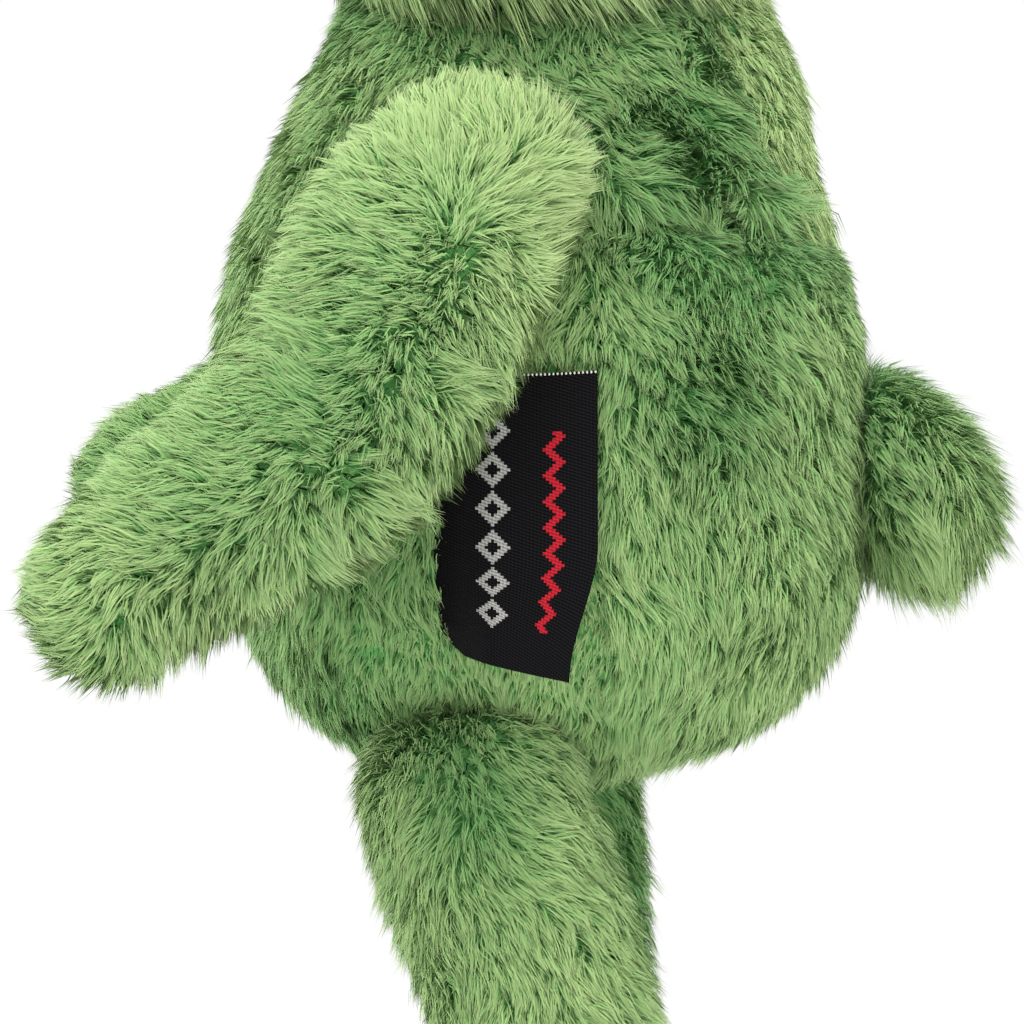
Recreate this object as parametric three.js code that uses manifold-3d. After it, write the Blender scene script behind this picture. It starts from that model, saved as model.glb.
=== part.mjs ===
// A plush rabbit that hangs by a tape loop from a swivel snap clasp and a split key ring.
// Millimetres, +Z up. The rabbit faces -Y and its left side is +X.
// The origin is the inner top of the key ring, where the whole thing hangs.
// The rabbit itself is worked out in its own frame, with Z = 0 at the lowest point of the torso.

import * as THREE from 'three';
import { mergeVertices } from 'three/addons/utils/BufferGeometryUtils.js';
import Module from 'manifold-3d';

const wasm = await Module();
wasm.setup();

// Fits
const fitGap = 0.3;
const plushWall = 1.6;

// Torso: a pear with a ball-shaped neck that the head nods on
const torsoDepth = 54.2;
const torsoWidth = 50;
const bellyHeight = 26;
const neckDepth = 34.6;
const neckHeight = 66;
const neckPivotHeight = 58;
const neckOpening = 18;
const torsoPlump = 2.6;
const bellyEase = 18;
const neckEase = 14;

// Head
const headHeight = 46;
const headWidth = 54;
const headDepth = 48;
const headCentreHeight = 86;
const headForward = 2;
const headPlump = 2.4;
const muzzleReach = 3.2;
const muzzleRadius = 10;
const muzzleDrop = 7;
const neckNod = 12;

// Arms: flat-backed and bent at the elbow, swinging on a tilted axis against the sloping side of the torso
const armSpan = 44.5;
const armShoulderRadius = 6.8;
const armPawRadius = 7.2;
const armMiddleSwell = 1.9;
const armBend = 4.2;
const armFlatness = 0.86;
const armBackDepth = 4;
const shoulderHeight = 47.75;
const shoulderForward = 2.8;
const shoulderTilt = 20;
const leftArmAngle = 37;
const rightArmAngle = 52;

// Legs
const legLength = 43;
const legRadius = 9;
const ankleRadius = 8;
const hipSpacing = 26;
const hipForward = 3.4;
const hipDrop = 2.4;
const leftLegLean = 16;
const rightLegLean = 7;
const footLength = 27;
const footWidth = 18;
const footHeight = 15;
const footForward = 4.5;

// Tail
const tailHeight = 18;
const tailWidth = 16;
const tailDepth = 15;
const tailCentreHeight = 25;
const tailStandOff = 3.6;
const tailWag = 10;

// Ears
const earLength = 50;
const earWidth = 15;
const earRootShare = 0.42;
const earTipShare = 0.25;
const earLowShare = 0.3;
const earWidestShare = 0.55;
const earHighShare = 0.85;
const earSpacing = 32;
const earBackThickness = 3;
const earLiningThickness = 1.6;
const earLiningInset = 2.6;
const earPivotLift = 2;
const earSink = 5;
const earForwardFlop = 40;
const earBackFlop = 20;
const earSplay = 7;

// Face
const eyeRadius = 3.2;
const eyeHeight = 2.6;
const eyeSpread = 25;
const eyeRise = 4;
const eyeStemRadius = 1.1;
const eyeStemLength = 8;
const washerRadius = 4;
const washerThickness = 1.2;
const noseWidth = 7;
const noseHeight = 5;
const noseDepth = 3;
const noseRise = -3;
const mouthWidth = 8;
const mouthDrop = 4;
const mouthThread = 0.5;

// Label
const labelLength = 25;
const labelWidth = 13.5;
const labelThickness = 0.6;
const labelTop = 33.3;
const labelFrontEdge = -7.5;
const labelCorner = 1;

// Hanging tape
const tapeWidth = 8;
const tapeThickness = 1;
const tapeBuried = 6;
const tapeAboveCrown = 6;
const hangForward = 1.8;

// Swivel snap clasp
const eyeBar = 2;
const eyeHoleHeight = 5.5;
const eyeSideGap = 0.8;
const postRadius = 1.2;
const rivetRadius = 2.2;
const rivetThickness = 1.2;
const claspWidth = 12;
const claspThickness = 5.4;
const claspWall = 2.4;
const claspArcHeight = 24;
const claspTipAngle = 15;
const cheekHeight = 6.2;
const cheekWidth = 3.4;
const gateSlot = 3.6;
const gateWidth = 2;
const gateTongue = 1.2;
const gateThickness = 3;
const gatePivotHeight = 4;
const gateTab = 1.2;
const pinRadius = 0.7;
const springWire = 0.4;
const springRadius = 1.35;
const springPitch = 0.85;
const springTurns = 1.5;

// Split key ring
const ringRadius = 12;
const ringWire = 1.5;
const ringPitch = 2;
const ringTurns = 2;
const ringInHook = 1.9;

// Facets
const bodySides = 24;
const limbSides = 16;
const smallSides = 10;
const cutterSides = 20;
const arcSteps = 6;
const cutterRound = 0.3;
const rad = THREE.MathUtils.degToRad;

// Solids from geometry, and back again
function solid(geometry) {
  const bare = new THREE.BufferGeometry().setAttribute('position', geometry.getAttribute('position'));
  if (geometry.index) bare.setIndex(geometry.index);
  const merged = mergeVertices(bare, 1e-4);
  const position = merged.getAttribute('position');
  const index = merged.index.array;
  const kept = [];
  let volume = 0;
  const [a, b, c] = [new THREE.Vector3(), new THREE.Vector3(), new THREE.Vector3()];
  for (let i = 0; i < index.length; i += 3) {
    const [p, q, r] = [index[i], index[i + 1], index[i + 2]];
    if (p === q || q === r || r === p) continue;
    kept.push(p, q, r);
    a.fromBufferAttribute(position, p);
    b.fromBufferAttribute(position, q);
    c.fromBufferAttribute(position, r);
    volume += a.dot(b.cross(c));
  }
  if (volume < 0) kept.reverse();
  return new wasm.Manifold(new wasm.Mesh({
    numProp: 3,
    vertProperties: new Float32Array(position.array),
    triVerts: new Uint32Array(kept),
  }));
}

function geometryOf(body) {
  const mesh = body.getMesh();
  const geometry = new THREE.BufferGeometry();
  geometry.setAttribute('position', new THREE.BufferAttribute(new Float32Array(mesh.vertProperties), 3));
  geometry.setIndex(new THREE.BufferAttribute(new Uint32Array(mesh.triVerts), 1));
  geometry.computeVertexNormals();
  return geometry;
}

function box(lowest, highest) {
  const size = highest.map((value, axis) => value - lowest[axis]);
  const geometry = new THREE.BoxGeometry(...size);
  geometry.translate(...lowest.map((value, axis) => value + size[axis] / 2));
  return geometry;
}

// A turned form about the Z axis, from [radius, height] points that start and end on the axis
function turned(profile, sides) {
  const points = profile.map(([radius, height]) => new THREE.Vector2(Math.max(radius, 0), height));
  return new THREE.LatheGeometry(points, sides).rotateX(Math.PI / 2);
}

function extruded(shape, thickness) {
  const settings = { depth: thickness, bevelEnabled: false, curveSegments: arcSteps };
  const geometry = new THREE.ExtrudeGeometry(shape, settings);
  return geometry.rotateX(Math.PI / 2).translate(0, thickness / 2, 0);
}

function rod(radius, from, to, sides) {
  const start = new THREE.Vector3(...from);
  const along = new THREE.Vector3(...to).sub(start);
  const geometry = new THREE.CylinderGeometry(radius, radius, along.length(), sides);
  const upright = new THREE.Vector3(0, 1, 0);
  const turn = new THREE.Quaternion().setFromUnitVectors(upright, along.clone().normalize());
  return geometry.applyQuaternion(turn).translate(...start.addScaledVector(along, 0.5).toArray());
}

function about(pivot, axis, degrees) {
  const there = new THREE.Matrix4().makeTranslation(...pivot);
  const back = new THREE.Matrix4().makeTranslation(...pivot.map((value) => -value));
  const turn = new THREE.Matrix4().makeRotationAxis(new THREE.Vector3(...axis).normalize(), rad(degrees));
  return there.multiply(turn).multiply(back);
}

// What a larger form sweeps, seen from a piece that turns on it
function swept(geometry, pivot, axis, lowest, highest, steps) {
  const turnedBy = (i) => about(pivot, axis, -(lowest + ((highest - lowest) * i) / steps));
  let body = solid(geometry.clone().applyMatrix4(turnedBy(0)));
  for (let i = 1; i <= steps; i += 1) body = body.add(solid(geometry.clone().applyMatrix4(turnedBy(i))));
  return body;
}

// A plump oval profile, rounder than an ellipse
function plumpProfile(radius, halfHeight, plump, steps) {
  const points = [];
  for (let i = 0; i <= steps; i += 1) {
    const angle = -Math.PI / 2 + (Math.PI * i) / steps;
    const across = Math.abs(Math.cos(angle)) ** (2 / plump);
    const up = Math.sign(Math.sin(angle)) * Math.abs(Math.sin(angle)) ** (2 / plump);
    points.push([i === 0 || i === steps ? 0 : radius * across, halfHeight * up]);
  }
  return points;
}

// A limb from its top end down: round ends, and a side that swells between two girths
function limbProfile(topRadius, bottomRadius, span, swell, capSteps, sideSteps) {
  const points = [];
  for (let i = 0; i <= capSteps; i += 1) {
    const angle = (Math.PI / 2) * (i / capSteps - 1);
    points.push([bottomRadius * Math.cos(angle), bottomRadius * Math.sin(angle) - span]);
  }
  for (let i = 1; i < sideSteps; i += 1) {
    const share = i / sideSteps;
    const girth = bottomRadius + (topRadius - bottomRadius) * share;
    points.push([girth + swell * Math.sin(Math.PI * share), span * (share - 1)]);
  }
  for (let i = 0; i <= capSteps; i += 1) {
    const angle = ((Math.PI / 2) * i) / capSteps;
    points.push([topRadius * Math.cos(angle), topRadius * Math.sin(angle)]);
  }
  points[0][0] = 0;
  points[points.length - 1][0] = 0;
  return points;
}

// The same profile moved inwards by a wall, or outwards by a negative one
function inset(profile, wall) {
  const last = profile.length - 1;
  return profile.map(([radius, height], i) => {
    if (i === 0) return [0, height + wall];
    if (i === last) return [0, height - wall];
    const [r0, h0] = profile[i - 1];
    const [r1, h1] = profile[i + 1];
    const length = Math.hypot(r1 - r0, h1 - h0);
    return [radius - (wall * (h1 - h0)) / length, height + (wall * (r1 - r0)) / length];
  });
}

// Torso
const torsoRadius = torsoDepth / 2;
const neckRadius = neckDepth / 2;
const torsoSquash = torsoWidth / torsoDepth;
const neckRise = neckHeight - neckPivotHeight;
const neckBall = Math.hypot(neckRadius, neckRise);
const neckTop = neckPivotHeight + neckBall;

function torsoProfile(bottomSteps, sideSteps, domeSteps) {
  const points = [];
  for (let i = 0; i < bottomSteps; i += 1) {
    const angle = (Math.PI / 2) * (1 - i / bottomSteps);
    const drop = Math.sin(angle) ** (2 / torsoPlump);
    const across = Math.cos(angle) ** (2 / torsoPlump);
    points.push([i === 0 ? 0 : torsoRadius * across, bellyHeight * (1 - drop)]);
  }
  const side = new THREE.CubicBezierCurve(
    new THREE.Vector2(torsoRadius, bellyHeight),
    new THREE.Vector2(torsoRadius, bellyHeight + bellyEase),
    new THREE.Vector2(
      neckRadius + (neckEase * neckRise) / neckBall,
      neckHeight - (neckEase * neckRadius) / neckBall,
    ),
    new THREE.Vector2(neckRadius, neckHeight),
  );
  side.getPoints(sideSteps).forEach((point) => points.push([point.x, point.y]));
  const start = Math.atan2(neckRise, neckRadius);
  for (let i = 1; i <= domeSteps; i += 1) {
    const angle = start + ((Math.PI / 2 - start) * i) / domeSteps;
    points.push([neckBall * Math.cos(angle), neckPivotHeight + neckBall * Math.sin(angle)]);
  }
  points[points.length - 1][0] = 0;
  return points;
}

function torsoForm(wall, sides, steps) {
  return turned(inset(torsoProfile(...steps), wall), sides).scale(torsoSquash, 1, 1);
}

const torsoSteps = [5, 5, 3];
const cutterClear = fitGap + cutterRound;

// The belly alone, a little larger, for cutting what is sewn against it
function bellyCutter() {
  const outline = inset(torsoProfile(...torsoSteps), -cutterClear);
  const lower = outline.filter(([, height]) => height < neckPivotHeight);
  lower.push([0, lower[lower.length - 1][1]]);
  return turned(lower, cutterSides).scale(torsoSquash, 1, 1);
}

// The neck ball as a socket, and the slope of the shoulders under it
const neckSocket = new THREE.SphereGeometry(neckBall + cutterClear, bodySides, 12);
neckSocket.scale(torsoSquash, 1, 1).translate(0, 0, neckPivotHeight);
const shoulderSlope = turned([
  [0, bellyHeight],
  [torsoRadius + cutterClear, bellyHeight],
  [torsoRadius + cutterClear, bellyHeight + bellyEase / 2],
  [neckRadius + cutterClear, neckHeight],
  [0, neckHeight],
], cutterSides).scale(torsoSquash, 1, 1);
const neckHole = rod(neckOpening / 2, [0, 0, neckPivotHeight], [0, 0, neckTop + plushWall], limbSides);

// The round leg tops are sewn into two hollows under the belly
function hipPivot(side) {
  return [(side * hipSpacing) / 2, -hipForward, -hipDrop];
}

function hipSocket(side) {
  const ball = new THREE.SphereGeometry(legRadius + fitGap + cutterRound / 2, cutterSides, cutterSides / 2);
  return solid(ball.translate(...hipPivot(side)));
}

const hipSockets = hipSocket(1).add(hipSocket(-1));
let torsoCover = solid(torsoForm(0, bodySides, torsoSteps));
torsoCover = torsoCover.subtract(solid(torsoForm(plushWall, bodySides, torsoSteps)));
torsoCover = torsoCover.subtract(solid(neckHole)).subtract(hipSockets);
const torsoStuffing = solid(torsoForm(plushWall + fitGap, limbSides, torsoSteps)).subtract(hipSockets);

// Head
const headCentre = [0, -headForward, headCentreHeight];
const neckPivot = [0, 0, neckPivotHeight];

function headForm(wall, sides, steps) {
  const depth = headDepth / 2 - wall;
  const profile = plumpProfile(depth, headHeight / 2 - wall, headPlump, steps);
  const form = turned(profile, sides).scale((headWidth / 2 - wall) / depth, 1, 1);
  const position = form.getAttribute('position');
  for (let i = 0; i < position.count; i += 1) {
    const [x, y, z] = [position.getX(i), position.getY(i), position.getZ(i)];
    const near = (x * x + (z + muzzleDrop) ** 2) / muzzleRadius ** 2;
    if (y < 0) position.setY(i, y - muzzleReach * Math.exp(-near));
  }
  return form.translate(...headCentre);
}

function headSurface(x, z) {
  const side = (Math.abs(x) / (headWidth / 2)) ** 2;
  const level = (1 - (Math.abs(z) / (headHeight / 2)) ** headPlump) ** (1 / headPlump);
  const muzzle = muzzleReach * Math.exp(-(x * x + (z + muzzleDrop) ** 2) / muzzleRadius ** 2);
  return -(headDepth / 2) * Math.sqrt(level ** 2 - side) - muzzle;
}

const headSteps = 12;
const headCutter = headForm(-fitGap, bodySides, headSteps);
const neckSweep = swept(shoulderSlope, neckPivot, [1, 0, 0], -neckNod, neckNod, 1).add(solid(neckSocket));
const crownHeight = headCentreHeight + headHeight / 2;
const barHalf = eyeBar / Math.SQRT2;
const tapeInner = barHalf + fitGap;
const tapeOuter = tapeInner + tapeThickness;
const tapeSlot = solid(box(
  [-tapeWidth / 2 - fitGap, -hangForward - tapeOuter - fitGap, crownHeight - tapeBuried - fitGap],
  [tapeWidth / 2 + fitGap, -hangForward + tapeOuter + fitGap, crownHeight + tapeAboveCrown],
));
let headCover = solid(headForm(0, bodySides, headSteps)).subtract(neckSweep);
headCover = headCover.subtract(solid(headForm(plushWall, bodySides, headSteps))).subtract(tapeSlot);
let headStuffing = solid(headForm(plushWall + fitGap, bodySides, headSteps)).subtract(solid(neckSocket));
headStuffing = headStuffing.subtract(tapeSlot);

// Eyes: a dome and stem through the cover, locked by a washer inside
function eyePlace(side) {
  const x = (side * eyeSpread) / 2;
  const y = headSurface(x, eyeRise);
  const step = fitGap;
  const across = (headSurface(x + step, eyeRise) - headSurface(x - step, eyeRise)) / (2 * step);
  const up = (headSurface(x, eyeRise + step) - headSurface(x, eyeRise - step)) / (2 * step);
  const outwards = new THREE.Vector3(across, -1, up).normalize();
  const turn = new THREE.Quaternion().setFromUnitVectors(new THREE.Vector3(0, 0, 1), outwards);
  const place = new THREE.Vector3(x, y, eyeRise).add(new THREE.Vector3(...headCentre));
  return new THREE.Matrix4().compose(place, turn, new THREE.Vector3(1, 1, 1));
}

const stemEnd = -eyeStemLength - fitGap;
const stemHole = rod(eyeStemRadius + fitGap, [0, 0, stemEnd], [0, 0, eyeHeight], smallSides);
const washerSeat = -plushWall - washerRadius ** 2 / headDepth - 2 * fitGap;
const washerPocket = rod(
  washerRadius + fitGap,
  [0, 0, washerSeat - washerThickness - fitGap],
  [0, 0, eyeHeight],
  smallSides,
);

function eyeSolid(place) {
  const dome = plumpProfile(eyeRadius, eyeHeight, 2, 8);
  const cap = solid(turned(dome, smallSides).applyMatrix4(place)).subtract(solid(headCutter));
  const stem = rod(eyeStemRadius, [0, 0, -eyeStemLength], [0, 0, eyeHeight / 2], smallSides);
  return cap.add(solid(stem.applyMatrix4(place)));
}

function washerSolid(place) {
  const ring = [
    [eyeStemRadius + fitGap, washerSeat - washerThickness],
    [washerRadius, washerSeat - washerThickness],
    [washerRadius, washerSeat],
    [eyeStemRadius + fitGap, washerSeat],
    [eyeStemRadius + fitGap, washerSeat - washerThickness],
  ];
  return solid(turned(ring, smallSides).applyMatrix4(place));
}

const eyes = {};
const washers = {};
[['left', 1], ['right', -1]].forEach(([name, side]) => {
  const place = eyePlace(side);
  eyes[name] = eyeSolid(place);
  washers[name] = washerSolid(place);
  headCover = headCover.subtract(solid(stemHole.clone().applyMatrix4(place)));
  headStuffing = headStuffing.subtract(solid(stemHole.clone().applyMatrix4(place)));
  headStuffing = headStuffing.subtract(solid(washerPocket.clone().applyMatrix4(place)));
});

// Nose and mouth stitches on the muzzle
const noseForm = new THREE.SphereGeometry(1, smallSides, 8).scale(noseWidth / 2, noseDepth, noseHeight / 2);
noseForm.translate(0, headSurface(0, noseRise) - headForward, headCentreHeight + noseRise);
const noseSolid = solid(noseForm).subtract(solid(headCutter));

function mouthPoint(across) {
  const x = (across * mouthWidth) / 2;
  const z = noseRise - noseHeight / 2 - mouthDrop * (1 - across * across);
  const y = headSurface(x, z) - mouthThread - 2 * fitGap;
  return new THREE.Vector3(x, y - headForward, z + headCentreHeight);
}

function tube(curve, wireRadius, steps, sides) {
  const section = new THREE.Shape();
  for (let i = 0; i < sides; i += 1) {
    const angle = (2 * Math.PI * i) / sides;
    const [x, y] = [wireRadius * Math.cos(angle), wireRadius * Math.sin(angle)];
    if (i === 0) section.moveTo(x, y);
    else section.lineTo(x, y);
  }
  return new THREE.ExtrudeGeometry(section, { steps, extrudePath: curve });
}

const smile = new THREE.CatmullRomCurve3([-1, -0.5, 0, 0.5, 1].map(mouthPoint));
const mouthSolid = solid(tube(smile, mouthThread, 12, 6));

// Arms. In the arm's own frame X points away from the torso, and the arm hangs down -Z from the shoulder.
const tilt = rad(shoulderTilt);
const shoulderOut = new THREE.Vector3(Math.cos(tilt), 0, Math.sin(tilt));
const torsoReach = Math.max(...torsoProfile(...torsoSteps).map(
  ([radius, height]) => radius * torsoSquash * shoulderOut.x + height * shoulderOut.z,
));
const shoulderSide = (torsoReach + fitGap - shoulderHeight * shoulderOut.z) / shoulderOut.x;
const shoulderPivot = [shoulderSide, -shoulderForward, shoulderHeight];

function armForm(wall, sides) {
  const profile = limbProfile(armShoulderRadius, armPawRadius, armSpan, armMiddleSwell, 4, 4);
  const form = turned(inset(profile, wall), sides).scale(armFlatness, 1, 1).translate(armBackDepth, 0, 0);
  const position = form.getAttribute('position');
  for (let i = 0; i < position.count; i += 1) {
    const share = THREE.MathUtils.clamp(-position.getZ(i) / armSpan, 0, 1);
    position.setY(i, position.getY(i) + armBend * Math.sin(Math.PI * share));
  }
  const back = box([-armSpan, -armSpan, -2 * armSpan], [wall, armSpan, armSpan]);
  return solid(form).subtract(solid(back));
}

function limbMatrix(pivot, outwards, degrees) {
  const turn = new THREE.Matrix4().makeRotationX(rad(-degrees));
  const down = new THREE.Matrix4().makeRotationY(-Math.atan2(outwards.z, outwards.x));
  return new THREE.Matrix4().makeTranslation(...pivot).multiply(down).multiply(turn);
}

function armSolids(degrees) {
  const place = limbMatrix(shoulderPivot, shoulderOut, degrees);
  const sewnHole = rod(armShoulderRadius / 2, [-plushWall, 0, 0], [armBackDepth, 0, 0], smallSides);
  const cover = armForm(0, limbSides).subtract(armForm(plushWall, limbSides)).subtract(solid(sewnHole));
  const stuffing = armForm(plushWall + fitGap, smallSides);
  return [cover, stuffing].map((body) => geometryOf(body).applyMatrix4(place));
}

// Legs. In the leg's own frame the hip pivot is the origin and the leg hangs down -Z.
function legForm(wall, sides) {
  const profile = limbProfile(legRadius, ankleRadius, legLength - ankleRadius, 0, 4, 3);
  const form = turned(inset(profile, wall), sides);
  const foot = new THREE.SphereGeometry(1, sides, 8).rotateX(Math.PI / 2);
  foot.scale(footWidth / 2 - wall, footLength / 2 - wall, footHeight / 2 - wall);
  foot.translate(0, -footForward, footHeight / 2 - legLength);
  return solid(form).add(solid(foot));
}

function legSolids(side, lean) {
  const place = new THREE.Matrix4().makeTranslation(...hipPivot(side));
  place.multiply(new THREE.Matrix4().makeRotationX(rad(lean)));
  const sewnHole = rod(legRadius / 2, [0, 0, 0], [0, 0, 2 * legRadius], smallSides);
  const cover = legForm(0, limbSides).subtract(legForm(plushWall, limbSides)).subtract(solid(sewnHole));
  const stuffing = legForm(plushWall + fitGap, smallSides);
  return [cover, stuffing].map((body) => geometryOf(body).applyMatrix4(place));
}

// Tail: a small stuffed ball against the back
const tailPivot = [0, torsoRadius, tailCentreHeight];

function tailForm(wall) {
  const form = new THREE.SphereGeometry(1, limbSides, 8).rotateX(Math.PI / 2);
  form.scale(tailWidth / 2 - wall, tailDepth / 2 - wall, tailHeight / 2 - wall);
  return solid(form.translate(0, torsoRadius + tailStandOff, tailCentreHeight));
}

const tailSweep = swept(bellyCutter(), tailPivot, [1, 0, 0], -tailWag, tailWag, 2);
const tailCover = tailForm(0).subtract(tailSweep).subtract(tailForm(plushWall));
const tailStuffing = tailForm(plushWall + fitGap).subtract(tailSweep);

// Ears: a leaf-shaped back panel with a smaller lining in front
function leaf(width, length, low) {
  const shape = new THREE.Shape();
  shape.moveTo(0, low);
  const [root, side, tip] = [width * earRootShare, width / 2, width * earTipShare];
  const [lower, widest, upper] = [length * earLowShare, length * earWidestShare, length * earHighShare];
  shape.bezierCurveTo(root, low, side, lower, side, widest);
  shape.bezierCurveTo(side, upper, tip, length, 0, length);
  shape.bezierCurveTo(-tip, length, -side, upper, -side, widest);
  shape.bezierCurveTo(-side, lower, -root, low, 0, low);
  return shape;
}

function earPivot(side) {
  const x = (side * earSpacing) / 2;
  const share = (Math.abs(x) / (headWidth / 2)) ** headPlump;
  const rise = (headHeight / 2) * (1 - share) ** (1 / headPlump);
  return [x, -headForward, headCentreHeight + rise + earPivotLift];
}

function earSolids(side) {
  const pivot = earPivot(side);
  const sweep = swept(headCutter, pivot, [1, 0, 0], -earBackFlop, earForwardFlop, 4);
  const back = extruded(leaf(earWidth, earLength, -earSink), earBackThickness);
  back.translate(pivot[0], pivot[1] + earBackThickness / 2, pivot[2]);
  const inner = earWidth - 2 * earLiningInset;
  const lining = extruded(leaf(inner, earLength - earLiningInset, -earSink), earLiningThickness);
  lining.translate(pivot[0], pivot[1] - earLiningThickness / 2 - fitGap, pivot[2]);
  const splay = about(pivot, [0, 1, 0], side * earSplay);
  return [back, lining].map((geometry) => geometryOf(solid(geometry.applyMatrix4(splay)).subtract(sweep)));
}

// Label: a woven flag held along its front edge, flat against the side
function roundedPlate(width, height, corner) {
  const shape = new THREE.Shape();
  shape.moveTo(corner, 0);
  shape.lineTo(width - corner, 0).absarc(width - corner, corner, corner, -Math.PI / 2, 0, false);
  shape.lineTo(width, height - corner);
  shape.absarc(width - corner, height - corner, corner, 0, Math.PI / 2, false);
  shape.lineTo(corner, height).absarc(corner, height - corner, corner, Math.PI / 2, Math.PI, false);
  shape.lineTo(0, corner).absarc(corner, corner, corner, Math.PI, 1.5 * Math.PI, false);
  return shape;
}

const labelForm = extruded(roundedPlate(labelWidth, labelLength, labelCorner), labelThickness);
labelForm.rotateZ(Math.PI / 2).translate(
  torsoWidth / 2 + fitGap + labelThickness / 2,
  labelFrontEdge,
  labelTop - labelLength,
);

// Hanging tape: a loop over the bar of the swivel eye, its two tails buried in the crown seam
const barHeight = crownHeight + tapeAboveCrown;

function tapeForm() {
  const low = crownHeight - tapeBuried;
  const shape = new THREE.Shape();
  shape.moveTo(-tapeOuter, low).lineTo(-tapeInner, low).lineTo(-tapeInner, barHeight);
  shape.absarc(0, barHeight, tapeInner, Math.PI, 0, true);
  shape.lineTo(tapeInner, low).lineTo(tapeOuter, low).lineTo(tapeOuter, barHeight);
  shape.absarc(0, barHeight, tapeOuter, 0, Math.PI, false);
  return extruded(shape, tapeWidth).rotateZ(Math.PI / 2).translate(0, -hangForward, 0);
}

// Swivel eye: a strap eye with a riveted post that turns in the base of the clasp
const claspBase = barHeight + 1.5 * eyeBar + eyeHoleHeight + fitGap;
const eyeHoleWidth = tapeWidth + 2 * eyeSideGap;
const eyeWidth = eyeHoleWidth + 2 * eyeBar;
const eyeOutline = roundedPlate(eyeWidth, eyeHoleHeight + 2 * eyeBar, eyeBar);
const eyeHole = new THREE.Path(roundedPlate(eyeHoleWidth, eyeHoleHeight, eyeBar / 4).getPoints(4).map(
  (point) => point.add(new THREE.Vector2(eyeBar, eyeBar)),
));
eyeOutline.holes.push(eyeHole);
const strapEye = extruded(eyeOutline, eyeBar).translate(-eyeWidth / 2, 0, barHeight - eyeBar / 2);
const rivetSeat = claspBase + claspWall + fitGap;
const postFoot = claspBase - fitGap - eyeBar / 2;
const post = rod(postRadius, [0, 0, postFoot], [0, 0, rivetSeat + rivetThickness / 2], smallSides);
const rivet = rod(rivetRadius, [0, 0, rivetSeat], [0, 0, rivetSeat + rivetThickness], smallSides);
const swivelEye = solid(strapEye).add(solid(post)).add(solid(rivet));

// Clasp: a hook with two cheeks that carry the gate on a pin
const claspHalf = claspWidth / 2;
const hookInner = claspHalf - claspWall;
const gateMiddle = claspHalf - gateWidth / 2;
const gatePivotZ = claspBase + gatePivotHeight;
const hookCentre = claspBase + claspArcHeight;
const tipAngle = -rad(claspTipAngle);

function claspSolid() {
  const shape = new THREE.Shape();
  shape.moveTo(-claspHalf, claspBase).lineTo(claspHalf, claspBase);
  shape.lineTo(claspHalf, claspBase + cheekHeight).lineTo(claspHalf - cheekWidth, claspBase + cheekHeight);
  shape.lineTo(claspHalf - cheekWidth, claspBase + claspWall).lineTo(-hookInner, claspBase + claspWall);
  shape.lineTo(-hookInner, hookCentre).absarc(0, hookCentre, hookInner, Math.PI, tipAngle, true);
  shape.absarc(0, hookCentre, claspHalf, tipAngle, Math.PI, false);
  const slotFloor = gatePivotZ - gateWidth / 2 - 2 * fitGap;
  const slot = box(
    [claspHalf - cheekWidth - fitGap, -gateSlot / 2, slotFloor],
    [claspWidth, gateSlot / 2, claspBase + cheekHeight + fitGap],
  );
  const postHole = rod(postRadius + fitGap, [0, 0, claspBase - claspWall], [0, 0, rivetSeat], smallSides);
  const pinHole = rod(
    pinRadius + fitGap,
    [gateMiddle, -claspThickness, gatePivotZ],
    [gateMiddle, claspThickness, gatePivotZ],
    smallSides,
  );
  return [slot, postHole, pinHole].reduce(
    (body, cut) => body.subtract(solid(cut)),
    solid(extruded(shape, claspThickness)),
  );
}

function gateSolid() {
  const top = hookCentre + claspHalf * Math.sin(tipAngle) - fitGap;
  const low = claspBase + cheekHeight;
  const tongueSide = -gateThickness / 2;
  const bar = box([claspHalf - gateWidth, -gateThickness / 2, low], [claspHalf, gateThickness / 2, top]);
  const tab = box(
    [claspHalf - gateWidth / 2, -gateThickness / 2, low + cheekHeight / 2],
    [claspHalf + gateTab, gateThickness / 2, low + cheekHeight],
  );
  const tongue = box(
    [claspHalf - gateWidth, tongueSide, gatePivotZ],
    [claspHalf, tongueSide + gateTongue, low + gateWidth / 2],
  );
  const [back, front] = [tongueSide, tongueSide + gateTongue];
  const knuckle = rod(
    pinRadius + 2 * fitGap,
    [gateMiddle, back, gatePivotZ],
    [gateMiddle, front, gatePivotZ],
    smallSides,
  );
  const hole = rod(
    pinRadius + fitGap,
    [gateMiddle, back - fitGap, gatePivotZ],
    [gateMiddle, front + fitGap, gatePivotZ],
    smallSides,
  );
  return solid(bar).add(solid(tab)).add(solid(tongue)).add(solid(knuckle)).subtract(solid(hole));
}

const gatePin = rod(
  pinRadius,
  [gateMiddle, -claspThickness / 2, gatePivotZ],
  [gateMiddle, claspThickness / 2, gatePivotZ],
  smallSides,
);

// A wound wire: one tube along a helix, whose turns keep clear of each other
class Helix extends THREE.Curve {
  constructor(centre, radius, pitch, turns, axis, start) {
    super();
    Object.assign(this, { centre, radius, pitch, turns, axis, start });
  }

  getPoint(t, target = new THREE.Vector3()) {
    const angle = this.start + 2 * Math.PI * this.turns * t;
    const along = (t - 0.5) * this.turns * this.pitch;
    const [across, up] = [this.radius * Math.cos(angle), this.radius * Math.sin(angle)];
    if (this.axis === 'x') target.set(along, across, up);
    else target.set(across, along, up);
    return target.add(this.centre);
  }
}

function leastGap(curve, turns, wireRadius) {
  const count = 72 * turns;
  const points = curve.getSpacedPoints(count);
  let least = Infinity;
  points.forEach((point, i) => {
    for (let j = i + Math.ceil(count / turns / 2); j < points.length; j += 1) {
      least = Math.min(least, point.distanceTo(points[j]) - 2 * wireRadius);
    }
  });
  return least;
}

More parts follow.
